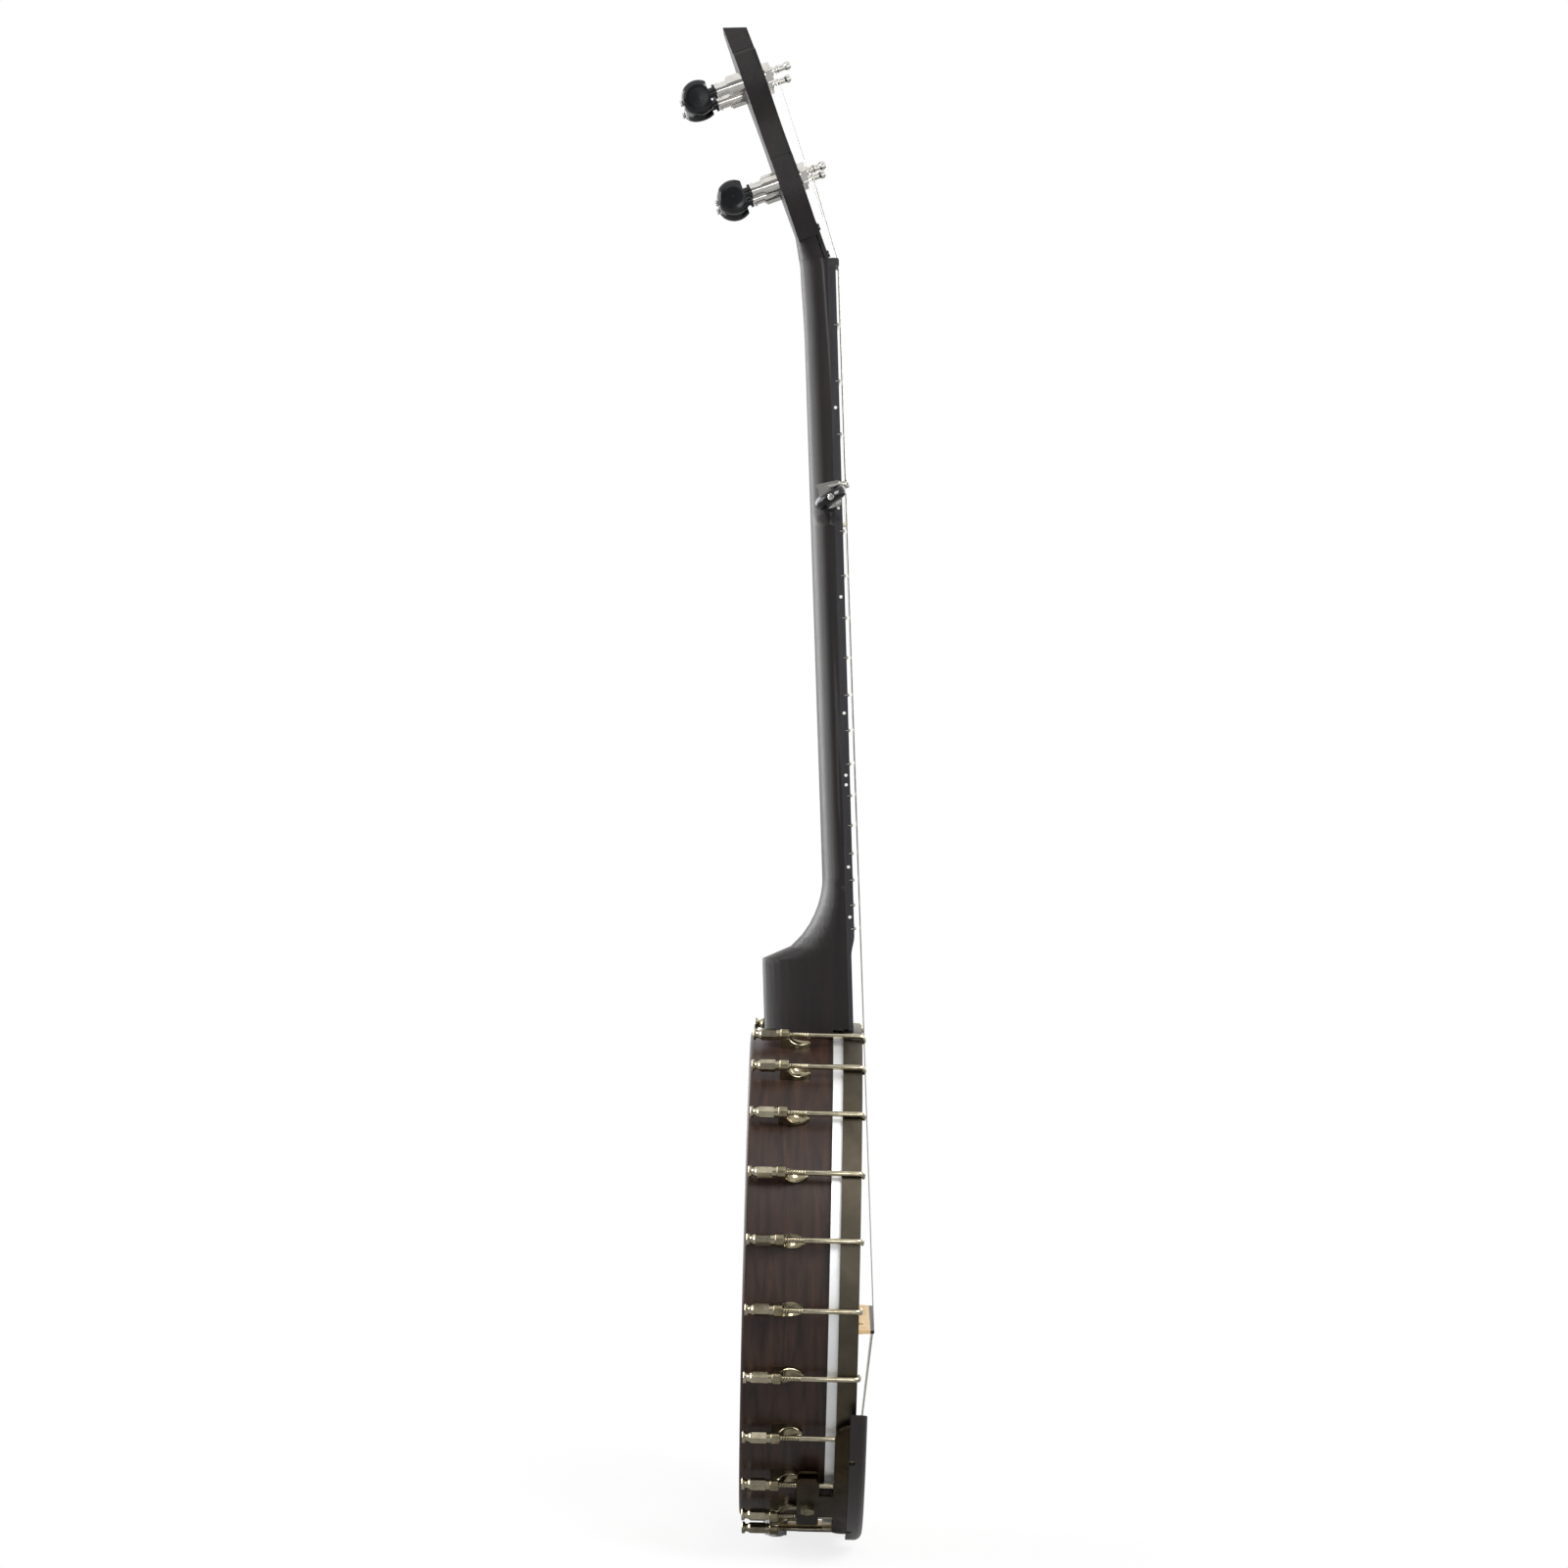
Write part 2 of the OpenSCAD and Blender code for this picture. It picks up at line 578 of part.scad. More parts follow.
// A wire swept through a list of points
module wire(path, r) {
    last = len(path) - 1;
    rings = [for (k = [0 : last]) let (d = unit(path[min(k + 1, last)] - path[max(k - 1, 0)]),
            u = unit(cross(d, [0, 1, 0])), v = cross(d, u))
        for (i = [0 : wire_sides - 1]) let (a = 360 * i / wire_sides)
            path[k] + r * (cos(a) * u + sin(a) * v)];
    sides = [for (k = [0 : last - 1], i = [0 : wire_sides - 1]) let (a = k * wire_sides + i,
            b = k * wire_sides + (i + 1) % wire_sides)
        for (f = [[a, b, b + wire_sides], [a, b + wire_sides, a + wire_sides]]) f];
    caps = [[for (i = [wire_sides - 1 : -1 : 0]) i], [for (i = [0 : wire_sides - 1]) last * wire_sides + i]];
    polyhedron(rings, concat(sides, caps), convexity = 4);
}
// A square-bottomed slot that a string lies in, open to the front
module string_slot(p, r, half) translate([p.x - r, p.y - overcut, p.z - half])
    cube([2 * r, overcut + r, 2 * half]);

module rim() color("#3a2c24") difference() {
    pot_ring() difference() {
        square_from([rim_inner, rim_front_y], [rim_radius, back_y]);
        translate([rim_radius - rim_round, back_y - rim_round]) edge_waste(1);
        translate([rim_inner + rim_round, back_y - rim_round]) edge_waste(-1);
    }
    for (a = hook_angles) around(a) translate([0, bolt_seat_y, 0]) rim_hole(shoe_bore);
    for (y = [lag_y, coordinator_y]) around(0) translate([0, y, 0]) rim_hole(lag_bore);
    around(180) translate([0, coordinator_y, 0]) rim_hole(rod_bore_outer);
}

module rim_hole(r) rod_z(r, rim_inner - overcut, rim_radius + overcut);

// What a rounding takes off a corner that points outwards (side 1) or inwards (side -1)
module edge_waste(side) difference() {
    translate([side > 0 ? 0 : -2 * rim_round, 0]) square([2 * rim_round, 2 * rim_round]);
    circle(r = rim_round);
}

module tone_ring() color("#b89a5a") pot_ring() difference() {
    union() {
        square_from([tone_inner, bead_y], [rim_radius, rim_front_y - eps]);
        square_from([tone_inner + bead_radius, face_y + head_thickness],
            [rim_radius - bead_radius, bead_y + 1]);
        for (x = [tone_inner + bead_radius, rim_radius - bead_radius])
            translate([x, bead_y]) circle(r = bead_radius);
    }
    translate([rim_radius - tone_width / 2, rim_front_y]) circle(r = bead_radius);
}

// The head: a flat skin that bends over the tone ring's bead into a skirt outside the rim
module head() color("#efece2") pot_ring() let (bend = [rim_radius - bead_radius + seat_gap, bead_y])
    polygon(concat([[0, face_y]], quarter(bend, bead_radius + head_thickness, -90),
        [[bend.x + bead_radius + head_thickness, flesh_back_y - 1], [bend.x + bead_radius, flesh_back_y - 1]],
        [for (a = [0 : -15 : -90]) bend + (bead_radius + 2 * eps) * [cos(a), sin(a)]],
        [[0, face_y + head_thickness]]));

// A rectangle between two corners
module square_from(a, b) translate(a) square(b - a);

module flesh_hoop() color("#d9dadb") pot_ring()
    square_from([flesh_inner, flesh_front_y], [flesh_outer, flesh_back_y]);

module tension_hoop() color("#8a7d66") pot_ring() difference() {
    square_from([lip_inner, hoop_front_y], [hoop_outer, hoop_back_y]);
    square_from([lip_inner - 1, flesh_front_y - hoop_fit], [flesh_outer + hoop_fit, hoop_back_y + 1]);
    square_from([groove_radius - groove_width / 2, hoop_front_y - 1],
        [groove_radius + groove_width / 2, hoop_front_y + groove_depth]);
}

// Side view of a shoe: distance forward from its back, height above the rim
function shoe_profile() = concat(
    [[0, eps], [0, boss_height], [boss_length, boss_height]],
    [for (i = [1 : 7]) let (t = i / 7) [lerp(boss_length, shoe_length * 0.8, t),
        tongue_low + (boss_height - tongue_low) * pow(1 - t, 2.2)]],
    [[shoe_length * 0.9, lerp(tongue_low, tongue_lip, 0.4)], [shoe_length * 0.97, tongue_lip],
    [shoe_length, tongue_low], [shoe_length, eps]]);
function shoe_half(t) = shoe_width / 2 * lookup(t, tongue_plan);

module shoe() difference() {
    union() {
        intersection() {
            bar_x(-shoe_width, shoe_width)
                polygon([for (p = shoe_profile()) [shoe_back_y - p.x, rim_radius + p.y]]);
            translate([0, shoe_back_y, rim_radius - overcut]) linear_extrude(2 * overcut + boss_height)
                polygon(concat([[shoe_half(0), 1]],
                    [for (p = tongue_plan) [shoe_half(p.x), -p.x * shoe_length]],
                    [for (i = [len(tongue_plan) - 1 : -1 : 0]) let (t = tongue_plan[i].x)
                        [-shoe_half(t), -t * shoe_length]],
                    [[-shoe_half(0), 1]]));
        }
        translate([0, 0, hook_radius]) rod_y(boss_diameter / 2, shoe_back_y - boss_length, shoe_back_y);
    }
    translate([0, 0, hook_radius])
        rod_y(rod_bore, shoe_back_y - boss_length - overcut, shoe_back_y + overcut);
    translate([0, bolt_seat_y, 0]) rod_z(shoe_bore, rim_radius - overcut, rim_radius + bolt_rise + seat_gap);
}

module shoes() color("#8f7d55") for (a = hook_angles) around(a) shoe();

module shoe_bolts() color("#b4a06e") for (a = hook_angles) around(a) translate([0, bolt_seat_y, 0]) {
    rod_z(shoe_bolt_diameter / 2, rim_inner - bolt_head_height + 1, rim_radius + bolt_rise);
    hex_z(bolt_head_flats, rim_inner - bolt_head_height - 0.6, rim_inner - 0.6);
}

module hook() {
    translate([0, 0, hook_radius]) rod_y(rod_radius, hoop_front_y - claw_thickness + rod_radius, hook_end_y);
    translate([0, hoop_front_y - claw_thickness + rod_radius, hook_radius]) sphere(r = rod_radius);
    plate_y(hoop_front_y - claw_thickness, hoop_front_y - eps) {
        square_from([-claw_width / 2, groove_radius], [claw_width / 2, hook_radius]);
        translate([0, groove_radius]) circle(r = claw_width / 2);
        translate([0, hook_radius]) circle(r = claw_width / 2);
    }
    translate([0, 0, groove_radius]) rod_y(groove_width / 2 - groove_slack, hoop_front_y - claw_thickness,
        hoop_front_y + groove_depth - groove_slack);
}

module hooks() color("#a08d60") for (a = hook_angles) around(a) hook();

// A hook nut's outline: distance from its axis, distance from the shoe
function hook_nut_profile() = let (r = hook_nut_flats / 2, hex_end = hook_nut_collar + hook_nut_hex,
        end = hex_end + nut_end_length, knob = end - nut_knob_length)
    [[0, 0], [r - nut_ring, 0], [r - nut_ring, nut_ring], [r, nut_ring], [r, hook_nut_collar - nut_ring],
    [r - nut_ring, hook_nut_collar - nut_ring], [r - nut_ring, hook_nut_collar], [r, hook_nut_collar],
    [r, hex_end], [lerp(nut_waist / 2, r, 0.25), lerp(hex_end, knob, 0.35)],
    [nut_waist / 2, lerp(hex_end, knob, 0.65)],
    [lerp(nut_waist / 2, hook_nut_knob / 2, 0.3), knob - nut_edge / 2], [hook_nut_knob / 2, knob],
    [hook_nut_knob / 2, end - nut_edge], [hook_nut_knob / 2 - nut_edge, end], [0, end]];

module hook_nut() translate([0, nut_front_y, hook_radius]) difference() {
    union() {
        rotate([-90, 0, 0]) rotate_extrude() polygon(hook_nut_profile());
        hex_y(hook_nut_flats, hook_nut_collar + nut_edge, hook_nut_collar + hook_nut_hex - nut_edge);
    }
    rod_y(rod_bore, -1, hook_end_y - nut_front_y + nut_edge);
}

module hook_nuts() color("#a8925c") for (a = hook_angles) around(a) hook_nut();

module coordinator_rod() color("#c9c9c6") translate([0, coordinator_y, 0]) difference() {
    rod_z(coordinator_diameter / 2, tail_nut_z - tail_nut_height - 1, rod_top_z);
    rod_z(lag_bore, rod_top_z - rod_tap, rod_top_z + 1);
}

module rod_nuts() color("#c9c9c6") translate([0, coordinator_y, 0]) {
    difference() {
        union() {
            hex_z(rod_nut_flats, rod_nut_z, rod_nut_z + rod_nut_height);
            rod_z(rod_washer, rod_seat_z, rod_nut_z);
        }
        rod_z(rod_bore_outer, 0, rim_wall + rod_nut_height + overcut);
    }
    difference() {
        rod_z(rod_spacer, tail_strap_z + seat_gap, 3);
        translate([0, -coordinator_y, rim_radius]) rod_y(rim_radius + seat_gap, face_y, back_y);
        rod_z(rod_bore_outer, tail_strap_z - 1, overcut);
    }
    difference() {
        hex_z(tail_nut_flats, tail_nut_z - tail_nut_height, tail_nut_z);
        rod_z(rod_bore_outer, tail_nut_z - tail_nut_height - 1, tail_nut_z + 1);
    }
    difference() {
        rod_z(rod_washer, rod_top_z + seat_gap, rod_top_z + rod_washer_height);
        rod_z(lag_bore, rod_top_z - 1, rod_top_z + 2);
    }
}

module lag_bolts() color("#b9b9b5") {
    translate([0, coordinator_y, 0])
        rod_z(lag_diameter / 2, rod_top_z - rod_tap + 1, 2 * rim_radius + lag_reach);
    translate([0, lag_y, 2 * rim_radius - rim_wall - lag_washer]) {
        rod_z(lag_diameter / 2, -1, rim_wall + lag_washer + lag_reach);
        hex_z(lag_head_flats, -lag_head_height, 0);
    }
}

module neck_loft() {
    rings = [for (l = loft_stations) loft_ring(l)];
    n = loft_sides + 1;
    last = len(rings) - 1;
    points = [for (ring = rings, p = ring) p];
    sides = [for (j = [0 : last - 1], i = [0 : n - 1]) let (a = j * n + i, b = j * n + (i + 1) % n)
        for (f = [[a, b, b + n], [a, b + n, a + n]]) f];
    caps = [[for (i = [n - 1 : -1 : 0]) i], [for (i = [0 : n - 1]) last * n + i]];
    polyhedron(points, concat(sides, caps), convexity = 6);
}

module neck() color("#3b2f2b") difference() {
    union() {
        at_neck() neck_loft();
        at_head() plate_y(veneer, peghead_thickness) intersection() {
            polygon(head_outline());
            square_from([-board_half_room, blend_s - 3], [board_half_room, peghead_length + 20]);
        }
    }
    at_neck() plate_y(board_thickness - 1, board_thickness + truss_diameter + 1)
        square_from([-truss_diameter / 2 - seat_gap, 10 - curve_l], [truss_diameter / 2 + seat_gap, -10]);
    at_peg5() rod_x(shank_radius + seat_gap, -2, shank_length + 0.5);
    for (k = [1 : 4]) at_tuner(k) rod_y(barrel_bore, -overcut, peghead_thickness + overcut);
    at_pot() rod_y(rim_radius + seat_gap, face_y - overcut, back_y + overcut);
    at_pot() rod_y(hoop_outer + run_gap, hoop_front_y - overcut, flesh_back_y + run_gap);
    for (y = [lag_y, coordinator_y])
        translate([0, y, 2 * rim_radius]) rod_z(lag_bore, -overcut, lag_reach + 1);
    head_top_cut();
}

// The peghead ends in a level cut
module head_top_cut() translate([-rim_radius / 2, -rim_radius, at_head_point([0, 0, peghead_length]).z])
    cube([rim_radius, 2 * rim_radius, board_half_room]);

module board_outline() polygon(concat(
    [for (l = [0, board_end_l]) [treble_half(l), -l]],
    [for (l = concat([board_end_l], [for (i = [8 : -1 : 0]) lerp(shoulder_top, shoulder_end, i / 8)], [0]))
        [-bass_half(l), -l]]));

// What the scoop takes off the board's face between the last fret and the pot
module scoop_waste() bar_x(-board_half_room, board_half_room) polygon(concat([[-1, -scoop_l]],
    [for (i = [0 : 6]) [scoop_depth * smooth(0, 1, i / 6), -scoop_l - scoop_slope * i / 6]],
    [[scoop_depth, -board_end_l - 1], [-1, -board_end_l - 1]]));

module fingerboard() color("#4a4b50") difference() {
    at_neck() difference() {
        plate_y(0, board_thickness - eps) board_outline();
        scoop_waste();
        for (n = [1 : fret_count]) translate([0, 0, -fret_at(n)]) bar_x(-board_half_room, board_half_room)
            square_from([-1, -tang_half - seat_gap], [tang_depth + 0.2, tang_half + seat_gap]);
        for (n = dot_frets) dot_spots(n) rod_y(dot_diameter / 2 + seat_gap, -1, dot_depth + 0.1);
        side_spots() rod_x(side_dot_diameter / 2 + seat_gap, -1, dot_depth + seat_gap);
        translate([pip_x, 0, -pip_l]) rod_y(pip_radius + seat_gap, -1, pip_depth + 0.1);
    }
    at_pot() rod_y(hoop_outer + run_gap, hoop_front_y - overcut, flesh_back_y + run_gap);
}

// One dot between two frets, or two at the octave
module dot_spots(n) {
    l = (fret_at(n) + fret_at(n - 1)) / 2;
    x = (treble_half(l) - bass_half(l)) / 2;
    for (s = n == 12 ? [-1, 1] : [0]) translate([x + s * octave_half, 0, -l]) children();
}

module frets() color("#c8c6be") at_neck() for (n = [1 : fret_count]) translate([0, 0, -fret_at(n)])
    bar_x(-bass_half(fret_at(n)) + fret_overhang, treble_half(fret_at(n)) - fret_overhang) {
        intersection() {
            circle(r = fret_crown / 2, $fn = 24);
            square_from([-fret_crown, -fret_crown], [-eps, fret_crown]);
        }
        square_from([-0.1, -tang_half], [tang_depth, tang_half]);
    }

module face_dots() color("#e9e4d8") at_neck() for (n = dot_frets) dot_spots(n)
    rod_y(dot_diameter / 2, -2 * eps, dot_depth);

module side_dots() color("#eceae4") at_neck() side_spots() rod_x(side_dot_diameter / 2, -seat_gap, dot_depth);

// The same frets are marked on the board's bass edge
module side_spots() for (n = dot_frets) let (l = (fret_at(n) + fret_at(n - 1)) / 2)
    for (s = n == 12 ? [-side_octave_half, side_octave_half] : [0])
        translate([-bass_half(l + s), board_thickness / 2, -l - s]) children();

module nut() color("#18181a") difference() {
    at_neck() bar_x(-narrow_half, full_half) polygon([[board_thickness - eps, 0],
        [board_thickness - eps, nut_thickness], [-nut_height + 0.8, nut_thickness],
        [-nut_height, nut_thickness - 1.2], [-nut_height, 0]]);
    for (i = [1 : 4]) {
        string_slot(nut_point(i), string_radius[i - 1] + slot_room, nut_thickness);
        translate(nut_point(i)) rotate([-slot_fall, 0, 0]) slot_flare(string_radius[i - 1] + slot_room);
    }
}

// Behind its middle a slot falls and widens towards the pegs
module slot_flare(r) plate_y(-overcut, r)
    polygon([[-r, -1], [r, -1], [r + flare_width, nut_thickness], [-r - flare_width, nut_thickness]]);

module fifth_string_pip() color("#d8d4c8") difference() {
    at_neck() translate([pip_x, 0, -pip_l]) rod_y(pip_radius, -nut_height, pip_depth);
    string_slot(pip_point(), string_radius[4] + slot_room, 2 * pip_radius);
}

module truss_rod() color("#9a9a98") at_neck()
    translate([0, board_thickness + truss_diameter / 2 + truss_cover, 0])
        rod_z(truss_diameter / 2, truss_end - curve_l, -truss_end);

module peghead_veneer() color("#2b2220") difference() {
    at_head() difference() {
        plate_y(0, veneer - eps) polygon(head_outline());
        for (p = tuner_places) translate([p.x, 0, p.y]) rod_y(barrel_bore, -1, veneer + 1);
    }
    at_neck() translate([-board_half_room, 0, nut_thickness + nut_step - board_half_room])
        cube([2 * board_half_room, board_half_room, board_half_room]);
    head_top_cut();
}

module truss_rod_cover() color("#161616") at_head() difference() {
    plate_y(-cover_plate, -eps) {
        square_from([-cover_half, 1.5], [cover_half, cover_length - cover_half]);
        translate([0, cover_length - cover_half]) circle(r = cover_half);
    }
    for (s = [cover_screw_inset, cover_length - cover_screw_inset])
        translate([0, 0, s]) rod_y(cover_hole, -cover_plate - 1, 1);
}

module cover_screws() color("#26262a") at_head()
    for (s = [cover_screw_inset, cover_length - cover_screw_inset])
        translate([0, -cover_plate, s]) difference() {
        rod_y(cover_screw_radius, -cover_screw_head, -eps);
        bar_x(-cover_half, cover_half)
            square_from([-2 * cover_screw_head, -driver_slot], [-cover_screw_head / 2, driver_slot]);
    }

// A tuner stands on an axis through the peghead, with its post in front and its case behind
module tuner_cases() color("#cfcfcc") for (k = [1 : 4]) at_tuner(k) difference() {
    union() {
        rod_y(barrel_diameter / 2, seat_gap - barrel_top, peghead_thickness + 1);
        rod_y(case_diameter / 2, peghead_thickness + seat_gap, case_end - 1);
        rod_y(case_diameter / 2 - case_step, case_end - 1, case_end);
        rod_y(collar_diameter / 2, case_end, collar_end);
        rod_y(collar_diameter / 2 + collar_ring, collar_end - 1.8, collar_end - 0.6);
    }
    rod_y(post_bore, -overcut - nut_top, peghead_thickness - 2);
    rod_y(shaft_diameter / 2 + bearing_gap, case_end - case_bore, collar_end + 1);
}

module barrel_nuts() color("#d4d3cf") for (k = [1 : 4]) at_tuner(k) {
    difference() {
        hex_y(barrel_nut_flats, -nut_top, -barrel_washer - eps);
        rod_y(barrel_bore, -barrel_top, 1);
        rod_y(post_bore, -nut_top - 1, 1);
    }
    difference() {
        rod_y(barrel_nut_flats / 2 + 1.2, -barrel_washer, -eps);
        rod_y(barrel_bore, -barrel_washer - 1, 1);
    }
}

// A string post, turned from one bar: its outline is distance from the axis and height
module post_shape(profile) rotate([90, 0, 0]) rotate_extrude() polygon(profile);

// The string's turns round a post's waist, from a height s upwards
function turns_profile(s, r) = concat([[post_waist / 2, s]],
    [for (j = [0 : string_turns - 1], q = [[0.6, 0.02], [2, 0.7], [2, 1.3], [0.6, 1.98]])
        [post_waist / 2 + q.x * r, s + (2 * j + q.y) * r]],
    [[post_waist / 2, s + 2 * string_turns * r]]);

module tuner_post(k) color("#d0cfcb") at_tuner(k) post_shape(concat(
    [[0, tuner_post_low], [post_diameter / 2, tuner_post_low], [post_diameter / 2, nut_top + 1],
    [post_waist / 2, waist_low]],
    turns_profile(run_gap + string_radius[4 - k] - wind_y, string_radius[4 - k]),
    [[post_waist / 2, post_height - 4], [post_knob, post_height - 2.6], [post_knob, post_height - 1],
    [post_knob - 0.8, post_height], [0, post_height]]));

// A button: a flat round grip with domed faces on a short flanged stem, its shaft running into the case
module button_shape() {
    difference() {
        union() {
            intersection() {
                translate([0, stem_length + button_length - button_width / 2, 0]) rotate([0, 90, 0])
                    rotate_extrude() polygon([for (a = [-90 : 15 : 90])
                        [button_width * pow(cos(a), 0.45), button_thickness * signed_pow(sin(a), 0.9)] / 2]);
                translate([-button_width, stem_length, -button_width])
                    cube([2 * button_width, 2 * button_width, 2 * button_width]);
            }
            rod_y(stem_flange, 0, stem_flange_length);
            rod_y(stem_radius, 0, stem_length + 2);
        }
        translate([0, stem_length + button_length, 0]) rod_y(button_hole, -button_hole_depth, 1);
    }
    rod_y(shaft_diameter / 2, -shaft_end, 1);
}

module tuner_button(k) color("#15171b") at_tuner(k) translate([0, button_start, 0])
    rotate([0, button_turns[k - 1], 0]) button_shape();

module screw_shape() translate([0, stem_length + button_length, 0]) difference() {
    union() {
        rod_y(screw_radius, 1 - button_hole_depth, screw_head / 2);
        rod_y(screw_head_radius, eps, screw_head);
    }
    bar_x(-overcut, overcut) square_from([screw_head - 0.4, -driver_slot], [screw_head + 1, driver_slot]);
}

module button_screw(k) color("#c4c4c0") at_tuner(k) translate([0, button_start, 0])
    rotate([0, button_turns[k - 1], 0]) screw_shape();

// The fifth string's peg: a housing on the neck's side, its post in front and its button out to the side
module peg5_housing() color("#c9c8c3") at_peg5() difference() {
    union() {
        translate([-peg5_out, 0, 0]) {
            bar_x(0, peg5_out) rounded(peg5_box, peg5_low, peg5_high, 1);
            bar_x(-1, 0.5) rounded(peg5_box + 2 * peg5_flange, peg5_high - 1.4, peg5_high + 0.6, 0.6);
        }
        rod_x(shank_radius, -1, shank_length);
        translate([peg5_post_x, 0, peg5_offset]) rod_y(peg5_collar_radius, -peg5_box / 2 - peg5_collar, 0);
    }
    rod_x(shaft_diameter / 2 + bearing_gap, -peg5_out - 3, peg5_button_x + shaft_end + seat_gap);
    translate([peg5_post_x, 0, peg5_offset]) rod_y(peg5_post_r + bearing_gap, -peg5_box, peg5_box / 2 - 2);
}

// A rectangle in y and z with rounded corners
module rounded(width, z0, z1, r) {
    square_from([-width / 2 + r, z0], [width / 2 - r, z1]);
    square_from([-width / 2, z0 + r], [width / 2, z1 - r]);
    for (y = [-width / 2 + r, width / 2 - r], z = [z0 + r, z1 - r]) translate([y, z]) circle(r = r);
}

module peg5_ring_nut() color("#bdbcb8") at_peg5() translate([-peg5_out - peg5_cap - ring_nut_length, 0, 0])
    difference() {
        bar_x(0, ring_nut_length) {
            circle(r = ring_nut_diameter / 2 - ring_nut_depth);
            for (i = [1 : ring_nut_teeth]) rotate(360 * i / ring_nut_teeth)
                square_from([ring_nut_diameter / 2 - 2 * ring_nut_depth, -ring_nut_tooth],
                    [ring_nut_diameter / 2, ring_nut_tooth]);
        }
        rod_x(shaft_diameter / 2 + bearing_gap, -1, ring_nut_length + 1);
    }

module peg5_post() color("#d0cfcb") at_peg5() translate([peg5_post_x, 0, peg5_offset]) post_shape(concat(
    [[0, 2.6 - peg5_box / 2], [peg5_post_r, 2.6 - peg5_box / 2],
    [peg5_post_r, peg5_box / 2 + 1.9], [post_waist / 2, peg5_box / 2 + 2.3]],
    turns_profile(run_gap + string_radius[4] - peg5_wind_y, string_radius[4]),
    [[post_waist / 2, peg5_box / 2 + 4.6], [peg5_knob, peg5_box / 2 + 5.2], [peg5_knob, peg5_box / 2 + 6.2],
    [peg5_knob - 0.9, peg5_box / 2 + 6.8], [0, peg5_box / 2 + 6.8]]));

// The button's frame: its shaft points into the housing
module at_peg5_button() at_peg5() translate([peg5_button_x, 0, 0]) rotate([peg5_button_turn, 0, 0])
    rotate([0, 0, 90]) children();

module peg5_button() color("#15171b") at_peg5_button() button_shape();

module peg5_screw() color("#c4c4c0") at_peg5_button() screw_shape();

// Bridge: three feet and two arches, thinner towards its cap
module bridge_turned() translate([0, face_y, bridge_z]) rotate([0, -bridge_turn, 0]) children();

module bridge_side() bar_x(-bridge_length / 2 - 1, bridge_length / 2 + 1) polygon([
    [-eps, -bridge_thickness / 2], [-eps, bridge_thickness / 2],
    [-bridge_height - 1, bridge_thickness * bridge_crest],
    [-bridge_height - 1, -bridge_thickness * bridge_crest]]);

module bridge_front(h0, h1)
    let (a = bridge_length / 2 - h0 * bridge_slope, b = bridge_length / 2 - h1 * bridge_slope)
    plate_z(-bridge_thickness, bridge_thickness) polygon([[-a, -h0], [a, -h0], [b, -h1], [-b, -h1]]);

// A plate whose outline is drawn in x and y, from z0 to z1
module plate_z(z0, z1) translate([0, 0, z0]) linear_extrude(z1 - z0) children();

module bridge() color("#dcc4a0") bridge_turned() difference() {
    intersection() {
        bridge_side();
        bridge_front(0, bridge_height - cap_height);
    }
    for (x = [-1, 1]) translate([x * bridge_length / 4, 0, 0]) plate_z(-10, 10) {
        translate([0, -arch_height]) circle(r = arch_radius);
        polygon([[-arch_half, 1], [arch_half, 1], [arch_radius * 0.86, -arch_height * 1.26],
            [-arch_radius * 0.86, -arch_height * 1.26]]);
    }
}

module bridge_cap() color("#1a1817") difference() {
    bridge_turned() intersection() {
        bridge_side();
        bridge_front(bridge_height - cap_height + eps, bridge_height);
    }
    for (i = [1 : 5]) string_slot(bridge_point(i), string_radius[i - 1] + slot_room, bridge_thickness);
}

// Tailpiece: a plate over the hoop, bent down outside it to the coordinator rod's end
module tailpiece() color("#c2a660") difference() {
    union() {
        plate_y(tail_front_y, tail_back_y) {
            polygon([[-strap_half, tail_strap_z - tail_plate], [strap_half, tail_strap_z - tail_plate],
                [strap_half, tail_low], [tail_half, tail_wide], [tail_half, tail_edge],
                [-tail_half, tail_edge], [-tail_half, tail_wide], [-strap_half, tail_low]]);
            translate([0, tail_edge]) intersection() {
                circle(r = tail_half);
                square_from([-tail_half, 0], [tail_half, 3]);
            }
        }
        plate_z(tail_strap_z - tail_plate, tail_strap_z) {
            square_from([-strap_half, tail_front_y], [strap_half, coordinator_y]);
            translate([0, coordinator_y]) circle(r = strap_half);
        }
    }
    translate([0, coordinator_y, tail_strap_z]) rod_z(rod_bore_outer, -overcut, 2);
    for (i = [1 : 5]) translate([hitch_point(i).x, tail_back_y, hitch_z])
        rod_y(hitch_pin_r + seat_gap, -overcut, 1);
}

module hitch_pins() color("#d2b770") for (i = [1 : 5]) translate([hitch_point(i).x, tail_front_y, hitch_z]) {
    rod_y(hitch_pin_r, 0.6 - hitch_pin_rise, tail_plate);
    rod_y(hitch_pin_r + hitch_pin_head, -hitch_pin_rise, 0.8 - hitch_pin_rise);
}

// Armrest: a curved board on a bracket that is clamped to two hooks
module armrest_board() color("#33241f") difference() {
    armrest_blank();
    rest_screw_places() rod_z(rest_screw_head + seat_gap, plate_outer - 1, rest_outer + overcut);
}

module armrest_blank() intersection() {
    pot_arc(rest_low, rest_low + rest_span) {
        square_from([rest_inner, board_front_y], [rest_outer - board_round, board_back_y]);
        square_from([plate_outer + seat_gap, board_front_y + board_round],
            [rest_outer, board_back_y + board_lip]);
        intersection() {
            translate([rest_outer - board_round, board_front_y + board_round]) circle(r = board_round);
            square_from([rest_outer - 9, board_front_y], [rest_outer, board_back_y]);
        }
        square_from([plate_outer + seat_gap, board_front_y + board_round - 1],
            [rest_outer, board_front_y + board_round + 1]);
    }
    plate_y(board_front_y - overcut, board_back_y + 20) lens_outline();
}

